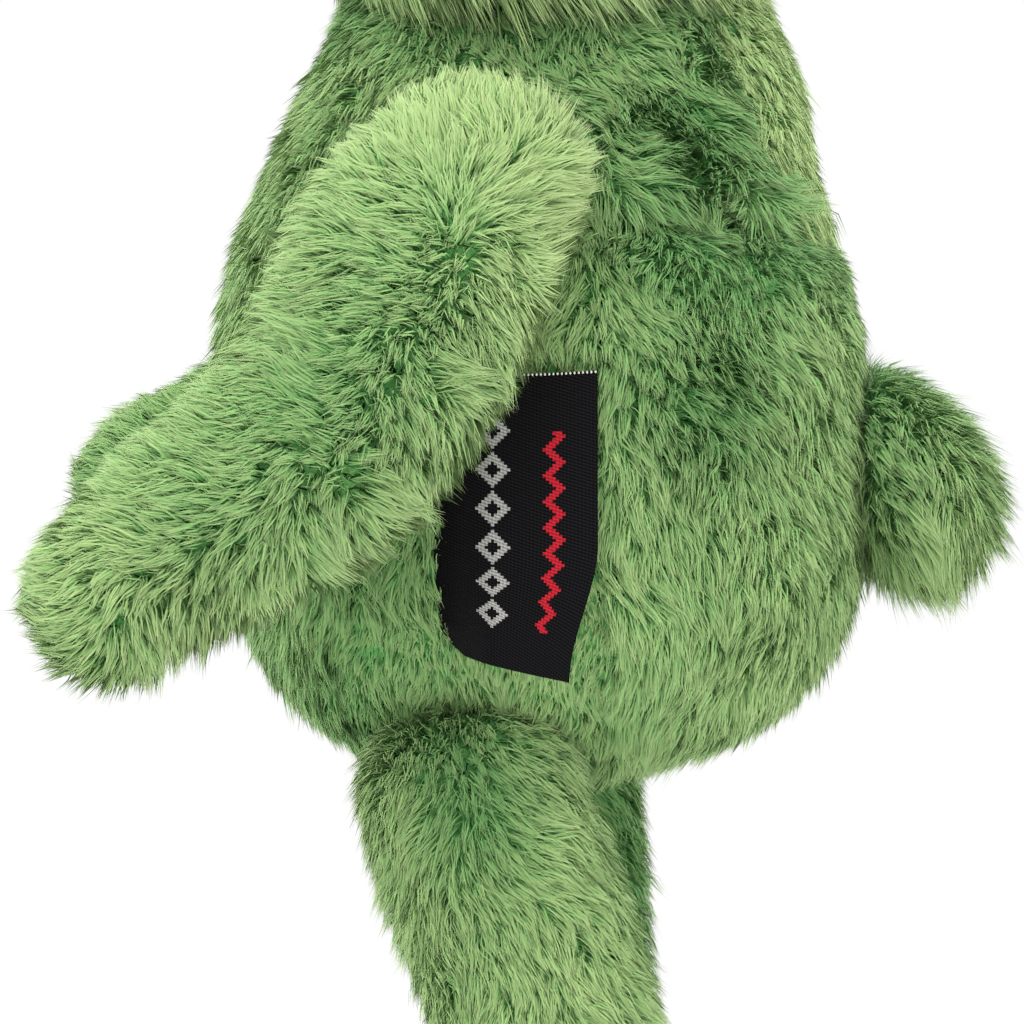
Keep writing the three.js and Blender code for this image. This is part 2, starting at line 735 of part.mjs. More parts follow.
const springMiddle = gateSlot / 2 - fitGap / 2 - springWire / 2 - (springTurns * springPitch) / 2;
const springCurve = new Helix(
  new THREE.Vector3(gateMiddle, springMiddle, gatePivotZ),
  springRadius, springPitch, springTurns, 'y', 0,
);
const ringBottom = hookCentre + ringInHook;
const ringCentre = ringBottom + ringRadius;
const ringCurve = new Helix(
  new THREE.Vector3(0, 0, ringCentre),
  ringRadius, ringPitch, ringTurns, 'x', Math.PI / 2,
);
const springGap = leastGap(springCurve, springTurns, springWire / 2);
const ringGap = leastGap(ringCurve, ringTurns, ringWire / 2);
console.log('gate spring, least gap between turns:', springGap.toFixed(2));
console.log('key ring, least gap between turns:', ringGap.toFixed(2));

// Materials and assembly
function finish(color, roughness, metalness) {
  return new THREE.MeshStandardMaterial({ color, roughness, metalness });
}

const plushGreen = 0x76b25c;
const fibreWhite = 0xece9e2;
const earGreen = 0xa3cf80;
const beadBlack = 0x0d0d0f;
const threadBlack = 0x1d1a1c;
const labelBlack = 0x141416;
const tapeGreen = 0x3f7d46;
const castMetal = 0xb9bcc2;
const wireMetal = 0xc6c9ce;

const hangHeight = ringCentre + ringRadius - ringWire / 2;
const part = new THREE.Group();
const rabbit = new THREE.Group();
rabbit.position.set(0, hangForward, -hangHeight);
const hardware = new THREE.Group();
hardware.position.set(0, 0, -hangHeight);
part.add(rabbit, hardware);

function piece(group, name, shape, material) {
  const geometry = shape.isBufferGeometry ? geometryOf(solid(shape)) : geometryOf(shape);
  const mesh = new THREE.Mesh(geometry, material);
  mesh.name = name;
  group.add(mesh);
  return mesh;
}

piece(rabbit, 'torso_cover', torsoCover, finish(plushGreen, 0.95, 0));
piece(rabbit, 'torso_stuffing', torsoStuffing, finish(fibreWhite, 1, 0));
piece(rabbit, 'head_cover', headCover, finish(plushGreen, 0.95, 0));
piece(rabbit, 'head_stuffing', headStuffing, finish(fibreWhite, 1, 0));
piece(rabbit, 'tail_cover', tailCover, finish(plushGreen, 0.95, 0));
piece(rabbit, 'tail_stuffing', tailStuffing, finish(fibreWhite, 1, 0));

const sides = [
  { name: 'left', side: 1, arm: leftArmAngle, lean: leftLegLean },
  { name: 'right', side: -1, arm: rightArmAngle, lean: rightLegLean },
];
sides.forEach(({ name, side, arm, lean }) => {
  const [armCover, armStuffing] = armSolids(arm).map((geometry) => geometry.scale(side, 1, 1));
  const [legCover, legStuffing] = legSolids(side, lean);
  const [earBack, earLining] = earSolids(side);
  piece(rabbit, `${name}_arm_cover`, armCover, finish(plushGreen, 0.95, 0));
  piece(rabbit, `${name}_arm_stuffing`, armStuffing, finish(fibreWhite, 1, 0));
  piece(rabbit, `${name}_leg_cover`, legCover, finish(plushGreen, 0.95, 0));
  piece(rabbit, `${name}_leg_stuffing`, legStuffing, finish(fibreWhite, 1, 0));
  piece(rabbit, `${name}_ear_back`, earBack, finish(plushGreen, 0.95, 0));
  piece(rabbit, `${name}_ear_lining`, earLining, finish(earGreen, 0.9, 0));
  piece(rabbit, `${name}_eye`, eyes[name], finish(beadBlack, 0.15, 0));
  piece(rabbit, `${name}_eye_washer`, washers[name], finish(fibreWhite, 0.5, 0));
});

piece(rabbit, 'nose_embroidery', noseSolid, finish(threadBlack, 0.6, 0));
piece(rabbit, 'mouth_stitch', mouthSolid, finish(threadBlack, 0.6, 0));
piece(rabbit, 'side_label', labelForm, finish(labelBlack, 0.8, 0));
piece(rabbit, 'hanging_tape', tapeForm(), finish(tapeGreen, 0.85, 0));

piece(hardware, 'swivel_eye', swivelEye, finish(castMetal, 0.3, 1));
piece(hardware, 'clasp_body', claspSolid(), finish(castMetal, 0.3, 1));
piece(hardware, 'clasp_gate', gateSolid(), finish(castMetal, 0.3, 1));
piece(hardware, 'gate_pin', gatePin, finish(wireMetal, 0.25, 1));
piece(hardware, 'gate_spring', tube(springCurve, springWire / 2, 12, 5), finish(wireMetal, 0.25, 1));
piece(hardware, 'key_ring', tube(ringCurve, ringWire / 2, 24 * ringTurns, 6), finish(wireMetal, 0.2, 1));

export default part;
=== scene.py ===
# %% [markdown]
# # Plush rabbit keychain
# A long-pile plush rabbit hangs by a tape from a snap clasp and a split ring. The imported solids
# give every size and every joint; this lesson dresses them. All forms are worked out in
# millimetres in the rabbit's own frame, with zero at the lowest point of the torso, and moved to the
# shared frame at the end, because small round numbers are easier to read than metres.

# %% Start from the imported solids
import math
from dataclasses import dataclass

import bmesh
import bpy
import numpy as np
from mathutils import Matrix, Vector, noise
from mathutils.bvhtree import BVHTree


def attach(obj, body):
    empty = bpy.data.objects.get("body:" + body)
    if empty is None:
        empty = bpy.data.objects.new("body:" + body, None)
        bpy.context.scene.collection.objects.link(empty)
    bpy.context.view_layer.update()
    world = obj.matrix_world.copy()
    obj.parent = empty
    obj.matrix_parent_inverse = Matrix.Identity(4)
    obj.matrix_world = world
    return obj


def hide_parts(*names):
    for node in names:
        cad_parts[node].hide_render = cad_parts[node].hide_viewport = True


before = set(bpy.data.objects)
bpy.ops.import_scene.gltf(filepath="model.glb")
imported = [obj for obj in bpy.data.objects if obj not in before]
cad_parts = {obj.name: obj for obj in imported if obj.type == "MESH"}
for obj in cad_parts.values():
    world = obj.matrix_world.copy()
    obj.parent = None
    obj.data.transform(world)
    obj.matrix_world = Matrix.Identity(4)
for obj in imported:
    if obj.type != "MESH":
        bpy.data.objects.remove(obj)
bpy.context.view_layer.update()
mm = 0.001
hang = Vector((0, 1.8, -172.95))
to_frame = Matrix.Scale(mm, 4) @ Matrix.Translation(hang)
scene = bpy.context.scene


def placed(name, data):
    """A new object in the scene, from a mesh, a lamp or a camera."""
    made = bpy.data.objects.new(name, data)
    scene.collection.objects.link(made)
    return made


# %% [markdown]
# ## Camera
# The picture is a level side view of the rabbit's left side, taken from slightly behind. A long lens
# from 380 mm away gives the same small difference in scale between the near arm and the far one.

# %% Camera
camera_turn = math.radians(4)
camera_distance, camera_shift, camera_height = 380, -2.76, 21.97
lens_pixels, picture_pixels = 4408, 1024
towards = Vector((math.cos(camera_turn), math.sin(camera_turn), 0))
rightwards = Vector((-math.sin(camera_turn), math.cos(camera_turn), 0))
camera_data = bpy.data.cameras.new("camera")
camera_data.sensor_width = 36
camera_data.lens = lens_pixels / picture_pixels * camera_data.sensor_width
camera_data.clip_start = 0.01
camera = placed("camera", camera_data)
camera_place = towards * camera_distance + rightwards * camera_shift
camera_place.z = camera_height
camera.location = to_frame @ camera_place
camera.rotation_euler = towards.to_track_quat("Z", "Y").to_euler()
scene.camera = camera
scene.view_settings.view_transform = "Standard"
print("camera at", [round(v, 3) for v in camera.location])

# %% [markdown]
# ## Short ways to build finishes
# A finish is a set of nodes joined by links. Small helpers keep that short: one adds a node and fills
# its sockets, with values or with another node's output, and one does a step of arithmetic. Colours
# are written as on the web and turned into the linear ones that light works with.

# %% Node tools
def put(tree, socket, given):
    """Joins a socket to another node's output, or sets it to a plain value."""
    if isinstance(given, bpy.types.NodeSocket):
        tree.links.new(given, socket)
    else:
        socket.default_value = given


def add(tree, kind, inputs=None, **settings):
    """A new node of a kind: its settings are made first, then its sockets are filled."""
    made = tree.nodes.new("ShaderNode" + kind)
    for name, given in settings.items():
        setattr(made, name, given)
    for name, given in (inputs or {}).items():
        put(tree, made.inputs[name], given)
    return made


def calc(tree, kind, *given):
    """One step of arithmetic on outputs or numbers."""
    return add(tree, "Math", dict(enumerate(given)), operation=kind).outputs[0]


def ink(code):
    """A linear colour from a written one."""
    parts = [int(code[i:i + 2], 16) / 255 for i in (0, 2, 4)]
    return [c / 12.92 if c <= 0.04045 else ((c + 0.055) / 1.055) ** 2.4 for c in parts] + [1.0]


def ramp(tree, driver, stops):
    """A colour that runs through written colours as its driver grows."""
    made = add(tree, "ValToRGB", {"Fac": driver})
    ends = made.color_ramp.elements
    while len(ends) < len(stops):
        ends.new(0.5)
    for end, (position, code) in zip(ends, stops):
        end.position = position
        end.color = ink(code)
    return made.outputs["Color"]


def mixed(tree, share, first, second):
    """Two colours, mixed by a share."""
    return add(tree, "Mix", {"Factor": share, "A": first, "B": second}, data_type="RGBA").outputs["Result"]


def finish(name, roughness, specular=0.5, metallic=0.0, colour="808080"):
    """A plain finish, with its nodes and the sockets of its main shader."""
    made = bpy.data.materials.new(name)
    made.use_nodes = True
    sockets = made.node_tree.nodes["Principled BSDF"].inputs
    sockets["Base Color"].default_value = ink(colour)
    sockets["Roughness"].default_value = roughness
    sockets["Specular IOR Level"].default_value = specular
    sockets["Metallic"].default_value = metallic
    return made, made.node_tree, sockets


def raise_pattern(tree, sockets, height, strength, distance):
    """Lets the light see a pattern as fine relief."""
    bump = add(tree, "Bump", {"Height": height, "Strength": strength, "Distance": distance})
    put(tree, sockets["Normal"], bump.outputs["Normal"])


def patterned(name, colour, gloss, stops, texture, inputs, relief=None, **settings):
    """A finish whose colour follows a texture in the piece's own Object coordinates."""
    made, tree, sockets = finish(name, *gloss, colour=colour)
    where = add(tree, "TexCoord").outputs["Object"]
    pattern = add(tree, texture, {"Vector": where, **inputs}, **settings).outputs["Fac"]
    put(tree, sockets["Base Color"], ramp(tree, pattern, stops))
    if relief:
        raise_pattern(tree, sockets, pattern, *relief)
    return made


# %% [markdown]
# ## Light and floor
# Product pictures use large soft lamps, so the pile shades itself and no hard shadow falls. The
# world looks white to the camera and to mirror-like metal, but lights the toy only gently.
# The floor lies under the feet, keeps a soft shadow and fades to white, so no horizon shows.

# %% Light
lamp_target = Vector((0, 0, -0.12))


def lamp(name, place, size, watts):
    """A round soft lamp that faces the toy."""
    data = bpy.data.lights.new(name, "AREA")
    data.shape = "DISK"
    data.size = size
    data.energy = watts
    made = placed(name, data)
    made.location = place
    made.rotation_euler = (Vector(place) - lamp_target).to_track_quat("Z", "Y").to_euler()


def seen_directly(tree):
    """An output that is 1 on rays from the camera, mirrors or glass, and 0 on the rest."""
    rays = add(tree, "LightPath").outputs
    plain = calc(tree, "MAXIMUM", rays["Is Camera Ray"], rays["Is Glossy Ray"])
    return calc(tree, "MAXIMUM", plain, rays["Is Transmission Ray"])


lamp("key_lamp", (0.7, -0.35, 0.55), 0.8, 7.4)
lamp("fill_lamp", (0.65, 0.75, 0.15), 0.9, 3.6)
lamp("front_lamp", (-0.35, -0.85, 0.25), 0.9, 3.8)
lamp("back_lamp", (-0.65, 0.6, 0.35), 0.9, 4.0)
lamp("top_lamp", (0.0, 0.0, 0.9), 0.9, 4.0)
world = bpy.data.worlds.new("studio")
scene.world = world
world.use_nodes = True
tree = world.node_tree
tree.nodes.clear()
soft = add(tree, "Background", {"Color": (1, 1, 0.99, 1), "Strength": 0.85})
white = add(tree, "Background", {"Color": (1, 1, 1, 1), "Strength": 1.0})
either = add(tree, "MixShader", {"Fac": seen_directly(tree), 1: soft.outputs[0], 2: white.outputs[0]})
add(tree, "OutputWorld", {"Surface": either.outputs[0]})
print("lamps:", len(bpy.data.lights))

# %% Floor
floor_radius, floor_height, fade_start, fade_end = 1.6, -0.236, 0.26, 0.48
floor_mesh = bpy.data.meshes.new("floor")
bm = bmesh.new()
bmesh.ops.create_circle(bm, cap_ends=True, segments=96, radius=floor_radius)
bmesh.ops.translate(bm, verts=bm.verts, vec=(0, 0, floor_height))
bm.to_mesh(floor_mesh)
bm.free()
floor = placed("floor", floor_mesh)
floor_paint, tree, sockets = finish("floor_paint", 0.8)
floor_mesh.materials.append(floor_paint)
sockets["Base Color"].default_value = (0.9, 0.9, 0.9, 1)
where = add(tree, "TexCoord").outputs["Object"]
reach = add(tree, "VectorMath", {0: where}, operation="LENGTH").outputs["Value"]
fade = add(tree, "MapRange", {"Value": reach, "From Min": fade_start, "From Max": fade_end},
           interpolation_type="SMOOTHSTEP").outputs[0]
paint = tree.nodes["Principled BSDF"].outputs[0]
glow = add(tree, "Emission", {"Strength": 1.0}).outputs[0]
share = calc(tree, "MULTIPLY", fade, seen_directly(tree))
either = add(tree, "MixShader", {"Fac": share, 1: paint, 2: glow})
put(tree, tree.nodes["Material Output"].inputs["Surface"], either.outputs[0])
print("floor at", floor_height, "m")

# %% [markdown]
# ## The plush's colour
# Every hair is dark at its root and pale at its tip, and locks differ a little from each other. So
# the colour needs two numbers only: how far along the hair, and how light the lock is. Both are kept
# in the hair's own UV map, which makes the colour the same from every side.

# %% Plush colour
def pile_finish(name, dark, light):
    """Colours from root to tip for the darkest locks and for the lightest."""
    made, tree, sockets = finish(name, 0.8, 0.05)
    sockets["Sheen Weight"].default_value = 0.3
    sockets["Sheen Roughness"].default_value = 0.45
    sockets["Sheen Tint"].default_value = ink("e4f2c8")
    uv = add(tree, "UVMap", uv_map="OFBake").outputs[0]
    split = add(tree, "SeparateXYZ", {0: uv}).outputs
    deep, pale = (ramp(tree, split["Y"], stops) for stops in (dark, light))
    put(tree, sockets["Base Color"], mixed(tree, split["X"], deep, pale))
    return made


plush = pile_finish(
    "green_plush",
    [(0.0, "448746"), (0.35, "559652"), (0.75, "709c5e"), (1.0, "90ad73")],
    [(0.0, "7ab068"), (0.35, "97be76"), (0.75, "abc483"), (1.0, "bbcc92")],
)
lining_plush = pile_finish(
    "pale_lining",
    [(0.0, "6b9a5b"), (0.5, "93b976"), (1.0, "a9c98a")],
    [(0.0, "8cb473"), (0.5, "b3d094"), (1.0, "cfe3b0")],
)
print("finishes:", plush.name, lining_plush.name)

# %% [markdown]
# ## Planting the pile
# Hair particles don't leave Blender with a model, so the pile is real mesh: slim blades that
# start under the skin, rise, bend over in the way they are combed, and end in a point. Blades grow in
# small locks whose tips draw together, which is what makes long pile look shaggy. Everything is
# worked out at once with arrays, and the seeds are fixed, so each run grows the same coat.

# %% Fields over a skin
def between(given, start, span):
    """0 at a start, 1 a span further on, and an even rise from one to the other."""
    return np.clip((given - start) / span, 0, 1)


def near(given, middle, spread):
    """1 at a middle, fading to 0 on both sides."""
    return np.exp(-((given - middle) / spread) ** 2)


def patch(p, y, y_spread, z, z_spread):
    """A soft spot at a depth and a height."""
    return near(p[:, 1], y, y_spread) * near(p[:, 2], z, z_spread)


def wavy(points, size, seed):
    """A smooth field between about -1 and 1, with waves of a size in millimetres."""
    rng = np.random.default_rng(seed)
    ways = rng.normal(size=(7, 3))
    ways *= 2 * math.pi / size * rng.uniform(0.6, 1.5, (7, 1)) / np.linalg.norm(ways, axis=1)[:, None]
    return np.sin(points @ ways.T + rng.uniform(0, 2 * math.pi, 7)).sum(axis=1) / 2.6


def unit(vectors):
    return vectors / np.maximum(np.linalg.norm(vectors, axis=-1, keepdims=True), 1e-9)


def levelled(normals, share):
    """Normals whose upright part is taken away by a share, so that they face the light level."""
    whole = np.ones_like(share)
    return unit(normals * np.stack([whole, whole, 1 - share], axis=1))


def value(given, points):
    """A number for every point, from one number or from a function of the points."""
    return np.asarray(given(points) if callable(given) else np.full(len(points), given), float)


def triangles_of(skin):
    """Points, smooth normals and triangles of a skin, in one fixed order whatever way it was made."""
    skin.normal_update()
    skin.verts.index_update()
    corners = []
    for face in skin.faces:
        loop = [v.index for v in face.verts]
        first = loop.index(min(loop))
        loop = loop[first:] + loop[:first]
        corners += [(loop[0], one, two) for one, two in zip(loop[1:], loop[2:])]
    points, normals = (np.array([getattr(v, kind) for v in skin.verts]) for kind in ("co", "normal"))
    return points, normals, np.array(sorted(corners))


def spread_over(points, normals, corners, count, rng):
    """Evenly scattered places on triangles, with their smooth normals."""
    a, b, c = (points[corners[:, k]] for k in range(3))
    area = np.linalg.norm(np.cross(b - a, c - a), axis=1)
    edge = np.cumsum(area) / area.sum()
    face = np.searchsorted(edge, (np.arange(count) + rng.random(count)) / count)
    face = np.minimum(face, len(corners) - 1)
    r, s = np.sqrt(rng.random(count))[:, None], rng.random(count)[:, None]
    shares = np.stack([1 - r, r * (1 - s), r * s], axis=1)
    return (points[corners[face]] * shares).sum(1), unit((normals[corners[face]] * shares).sum(1))


# %% What a pile is
@dataclass
class Pile:
    """How a piece's pile grows. What varies over the skin is given as a function of places on it."""

    # The way the hairs lie, and the seed of all that is random
    comb: object
    seed: int
    # Locks and short hairs on a square millimetre, long hairs in a lock, and the share that stays
    locks: float = 2.5
    under: float = 9
    blades: int = 9
    keep: object = 1.0
    # Millimetres long and wide, and degrees off the skin at the root and at the tip
    length: object = 3.5
    width: float = 0.1
    lift: tuple = (76, 6)
    # Tone from 0, dark, to 1, light, which also carries painted light and shade, and the way the pile faces
    # the light if not straight out
    tone: object = 0.5
    face_way: object = None
    # Radians that locks turn aside, how far they stand up, hang down and draw together
    swirl: object = 0.35
    upright: object = 0.0
    droop: object = 0.2
    down: tuple = (0, 0, -1)
    clump: float = 0.7

    def shown(self, root, out):
        return self.face_way(root, out) if self.face_way else out


# %% Roots and locks
# Waves over the skin, in millimetres, that turn the locks, lift their tips and shade them
swirl_waves, ripple_waves, tip_waves, tone_waves = 11, 4.5, 9, 13
# How much locks differ by chance, in radians, shares, degrees, shares and tones
lock_turn, lock_length, lock_lift, lock_aside, lock_tone = 0.08, 0.13, 6, 0.16, 0.07
weak_pull, standing_lift, standing_tip = 0.4, 88, 60


def planted(pile, surface, count, rng):
    """Roots, the way out of the skin, the way each is combed, and how far it stands where that is weak."""
    root, out = spread_over(*surface, count, rng)
    alive = rng.random(len(root)) < value(pile.keep, root)
    root, out = root[alive], out[alive]
    way = pile.comb(root)
    way = way - out * (way * out).sum(1)[:, None]
    pull = between(np.linalg.norm(way, axis=1), 0, weak_pull)
    return root, out, unit(way), np.maximum(value(pile.upright, root), 0.9 - 0.9 * pull)


def grown_locks(pile, root, out, way, stand, rng):
    """Each lock's ways along and across the skin, its ways at root and tip, its length and its tone."""
    count, seed = len(root), pile.seed
    side = np.cross(out, way)
    turns = value(pile.swirl, root) * wavy(root, swirl_waves, seed + 1)
    turns += 0.3 * wavy(root, ripple_waves, seed + 4)
    angle = (turns + (lock_turn + 0.9 * np.clip(stand - 0.4, 0, 0.5)) * rng.normal(size=count))[:, None]
    way, side = way * np.cos(angle) + side * np.sin(angle), side * np.cos(angle) - way * np.sin(angle)
    tall = value(pile.length, root) * np.clip(1 + lock_length * rng.normal(size=count), 0.6, 1.45)
    root_lift, tip_lift = pile.lift
    root_lift = root_lift + (standing_lift - root_lift) * stand
    rise = np.radians(root_lift + rng.normal(0, lock_lift, count))[:, None]
    tip_lift = tip_lift + standing_tip * stand + 8 * wavy(root, tip_waves, seed + 2)
    fall = np.radians(tip_lift + rng.normal(0, lock_lift, count))[:, None]
    start = way * np.cos(rise) + out * np.sin(rise)
    hanging = value(pile.droop, root)[:, None] * np.array(pile.down)
    aside = side * rng.normal(0, lock_aside, count)[:, None]
    end = unit(way * np.cos(fall) + out * np.sin(fall) + hanging + aside)
    light = value(pile.tone, root) + 0.08 * wavy(root, tone_waves, seed + 3) + rng.normal(0, lock_tone, count)
    return way, side, start, end, tall, light


# %% Hairs
# How far a hair's two edges lie from its middle in the UV map, and the tones that it may have
uv_gap, darkest, lightest = 0.003, 0.02, 0.98
# Millimetres that roots lie under the skin and beside their lock's middle
root_depth, root_spread = 0.35, 0.46
# What long hairs differ in by chance: tone, way at root and tip, length, bend, width and roll
hair_tone, hair_start, hair_end = 0.06, 0.09, 0.15
length_range, bend_range, width_range, roll_range = (0.72, 1.1), (0.38, 0.62), (0.75, 1.3), (-1.1, 1.1)


def long_hairs(pile, root, out, way, stand, rng):
    """Points, UVs and shading normals of blades with five points each, drawn together in their locks."""
    locks = root, out, pile.shown(root, out), *grown_locks(pile, root, out, way, stand, rng)
    root, out, shown, way, side, start, end, tall, light = (np.repeat(v, pile.blades, axis=0) for v in locks)
    total = len(root)
    tall = (tall * rng.uniform(*length_range, total))[:, None]
    light = np.clip(light + rng.normal(0, hair_tone, total), darkest, lightest)
    offset = rng.normal(0, root_spread / math.sqrt(pile.locks / 1.8), (total, 2))
    foot = root + way * offset[:, :1] + side * offset[:, 1:] - out * root_depth
    own_start = unit(start + rng.normal(0, hair_start, (total, 3)))
    own_end = unit(end + rng.normal(0, hair_end, (total, 3)))
    bend = rng.uniform(*bend_range, (total, 1))
    lines = []
    for s in (0 * bend, bend, 0 * bend + 1):
        own = foot + tall * s * (own_start + (own_end - own_start) * s / 2)
        lock = root + tall * s * (start + (end - start) * s / 2)
        pull = pile.clump * s ** 1.2
        lines.append(own * (1 - pull) + lock * pull)
    along = unit(lines[1] - lines[0])
    flatwise = unit(np.cross(along, out))
    roll = rng.uniform(*roll_range, total)[:, None]
    flatwise = flatwise * np.cos(roll) + np.cross(flatwise, along) * np.sin(roll)
    half = flatwise * (pile.width / 2) * rng.uniform(*width_range, (total, 1))
    edges = [line + reach * half for line, broad in zip(lines, (0.7, 1.0)) for reach in (-broad, broad)]
    uv = np.empty((total, 5, 2))
    for k, apart in enumerate((-uv_gap, uv_gap, -uv_gap, uv_gap, 0)):
        uv[:, k, 0] = light + apart
        uv[:, k, 1] = (0.03, bend[:, 0], 0.99)[k // 2]
    shading = unit(shown + 0.12 * unit(np.cross(flatwise, along)))
    return np.stack(edges + [lines[2]], axis=1), uv, np.repeat(shading[:, None, :], 5, axis=1)


def short_hairs(pile, root, out, way, stand, rng):
    """The undercoat: single triangles that fill the ground between the locks."""
    count = len(root)
    stand = np.clip(stand, 0, 1)[:, None]
    tall = (0.5 + 0.2 * stand) * (value(pile.length, root) * rng.uniform(0.7, 1.2, count))[:, None]
    stray = (0.35 + 0.25 * stand) * rng.normal(size=(count, 3))
    tip = root + tall * unit(out + 0.8 * (1 - stand) * way + stray)
    half = unit(np.cross(out, rng.normal(size=(count, 3)))) * pile.width * 0.8
    foot = root - 0.2 * out
    # The undercoat is a little lighter than its locks: painted light that lifts the shade in the gaps
    light = np.clip(value(pile.tone, root) + 0.05 + rng.normal(0, 0.09, count), darkest, lightest)
    uv = np.stack([np.stack([light + apart, np.full(count, along)], axis=1)
                   for apart, along in ((-uv_gap, 0.3), (uv_gap, 0.3), (0, 0.9))], axis=1)
    shading = np.repeat(pile.shown(root, out)[:, None, :], 3, axis=1)
    return np.stack([foot - half, foot + half, tip], axis=1), uv, shading


def coat(skin, pile):
    """All the hairs of a skin, the long ones and then the short ones."""
    rng = np.random.default_rng(pile.seed)
    surface = triangles_of(skin)
    area = sum(f.calc_area() for f in skin.faces)
    tall = long_hairs(pile, *planted(pile, surface, int(area * pile.locks), rng), rng)
    return tall, short_hairs(pile, *planted(pile, surface, int(area * pile.under), rng), rng)


# %% Plush pieces
# A long hair is a four-sided face with a tip, and a short hair is one triangle
hair_loops = [(0, 1, 3, 2, 2, 3, 4), (0, 1, 2)]
mirror_loops = [(0, 2, 3, 1, 2, 4, 3), (0, 2, 1)]
face_starts = [(0, 4), (0,)]


def hair_mesh(name, skin, grown, move, finish_used):
    """One mesh of a skin and all its hairs, moved by a matrix."""
    base, skin_normals, faces = triangles_of(skin)
    skin.free()
    mirrored = np.linalg.det(move[:3, :3]) < 0
    faces = faces[:, ::-1] if mirrored else faces
    # The skin between the hairs takes a dark colour near the roots' as painted shade of the deep pile
    shaded_skin_uv = np.random.default_rng(5).normal((0.1, 0.24), (0.06, 0.06), (len(base), 2))
    points, uv, normals = [base], [np.clip(shaded_skin_uv, 0.001, 0.999)], [skin_normals]
    loops, starts = [faces.ravel()], [3 * np.arange(len(faces))]
    for hairs, order, cuts in zip(grown, mirror_loops if mirrored else hair_loops, face_starts):
        count, corners = hairs[0].shape[:2]
        every = np.arange(count)[:, None]
        loops.append((sum(map(len, points)) + corners * every + np.array(order)).ravel())
        starts.append((sum(map(len, loops[:-1])) + len(order) * every + np.array(cuts)).ravel())
        for kept, part in zip((points, uv, normals), hairs):
            kept.append(part.reshape(-1, part.shape[-1]))
    points = np.concatenate(points) @ move[:3, :3].T + move[:3, 3]
    normals = unit(np.concatenate(normals) @ np.linalg.inv(move[:3, :3]))
    loops, starts = np.concatenate(loops).astype(np.int32), np.concatenate(starts).astype(np.int32)
    mesh = bpy.data.meshes.new(name)
    mesh.vertices.add(len(points))
    mesh.vertices.foreach_set("co", points.astype(np.float32).ravel())
    mesh.loops.add(len(loops))
    mesh.loops.foreach_set("vertex_index", loops)
    mesh.polygons.add(len(starts))
    mesh.polygons.foreach_set("loop_start", starts)
    uv_map = mesh.uv_layers.new(name="OFBake")
    uv_map.data.foreach_set("uv", np.concatenate(uv)[loops].astype(np.float32).ravel())
    mesh.polygons.foreach_set("use_smooth", np.ones(len(starts), bool))
    mesh.materials.append(finish_used)
    mesh.update(calc_edges=True)
    mesh.normals_split_custom_set_from_vertices(normals)
    return mesh


def plush_piece(name, skin, pile, place, body, replaced, finish_used):
    """One soft piece: the skin and all its hairs in a single mesh, moved to the shared frame."""
    grown = coat(skin, pile)
    mesh = hair_mesh(name, skin, grown, np.array(to_frame @ place), finish_used)
    made = placed(name, mesh)
    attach(made, body)
    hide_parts(*replaced)
    triangles = len(mesh.loops) - 2 * len(mesh.polygons)
    print(f"{name}: {len(grown[0][0])} long hairs, {len(grown[1][0])} short ones, {triangles} triangles")


def stuffed(body, skin, pile, place):
    """A sewn and stuffed body, in place of its cover and its stuffing."""
    replaced = [f"{body}_cover", f"{body}_stuffing"]
    plush_piece(f"{body}_plush", skin, pile, place, body, replaced, plush)


# %% [markdown]
# ## Soft skins
# Under the pile each stuffed piece is a closed skin. A spin turns a profile into a round form, and
# moving its points in and out along their normals gives lumps of filling and the pinch of a seam.

# %% Skin tools
def spun(profile, around):
    """A closed round form about Z, from (radius, height) points that start and end on the axis."""
    bm = bmesh.new()
    verts = [bm.verts.new((r, 0, z)) for r, z in profile]
    edges = [bm.edges.new(pair) for pair in zip(verts, verts[1:])]
    bmesh.ops.spin(bm, geom=verts + edges, cent=(0, 0, 0), axis=(0, 0, 1), angle=2 * math.pi,
                   steps=around, use_merge=True)
    bmesh.ops.remove_doubles(bm, verts=bm.verts, dist=0.001)
    bmesh.ops.recalc_face_normals(bm, faces=bm.faces)
    return bm


def eased(bm, depth, lump, size, seam=None):
    """Moves a skin inwards by a depth, with soft lumps and a pinch as deep as seam() says."""
    bm.normal_update()
    moves = []
    for v in bm.verts:
        swell = lump * noise.noise(v.co / size)
        pinch = seam(v.co) if seam else 0
        moves.append(v.normal * (swell - depth - pinch))
    for v, move in zip(bm.verts, moves):
        v.co += move
    bm.normal_update()
    return bm


def smoothed(bm, times):
    for _ in range(times):
        bmesh.ops.smooth_vert(bm, verts=bm.verts, factor=0.5, use_axis_x=True, use_axis_y=True,
                              use_axis_z=True)
    return bm


def bezier(grip, count):
    """Points along a curve with four handles."""
    points = []
    for i in range(count):
        t = i / (count - 1)
        weights = ((1 - t) ** 3, 3 * t * (1 - t) ** 2, 3 * t * t * (1 - t), t ** 3)
        points.append(tuple(sum(w * p[k] for w, p in zip(weights, grip)) for k in range(2)))
    return points


def limb_profile(top, bottom, span, swell, cap=7, side=12):
    """A sausage's profile, from its lower pole up to its upper one, with its top's centre at zero."""
    points = []
    for i in range(cap + 1):
        a = math.pi / 2 * (i / cap - 1)
        points.append((bottom * math.cos(a), bottom * math.sin(a) - span))
    for i in range(1, side):
        s = i / side
        points.append((bottom + (top - bottom) * s + swell * math.sin(math.pi * s), span * (s - 1)))
    for i in range(cap + 1):
        a = math.pi / 2 * i / cap
        points.append((top * math.cos(a), top * math.sin(a)))
    points[0], points[-1] = (0, points[0][1]), (0, points[-1][1])
    return points


def downwards(turned):
    """Which way is down for a piece that has been turned."""
    return tuple(turned.to_3x3().inverted() @ Vector((0, 0, -1)))


# %% [markdown]
# ## Torso
# The torso is a pear: widest at the belly, narrow where the head sits on it. Two seams show on the
# rear left: one level across the back, one running up the spine a little to the left. The pile
# hangs down the sides, lies over the seams and is rubbed up into swirls on the upper back.

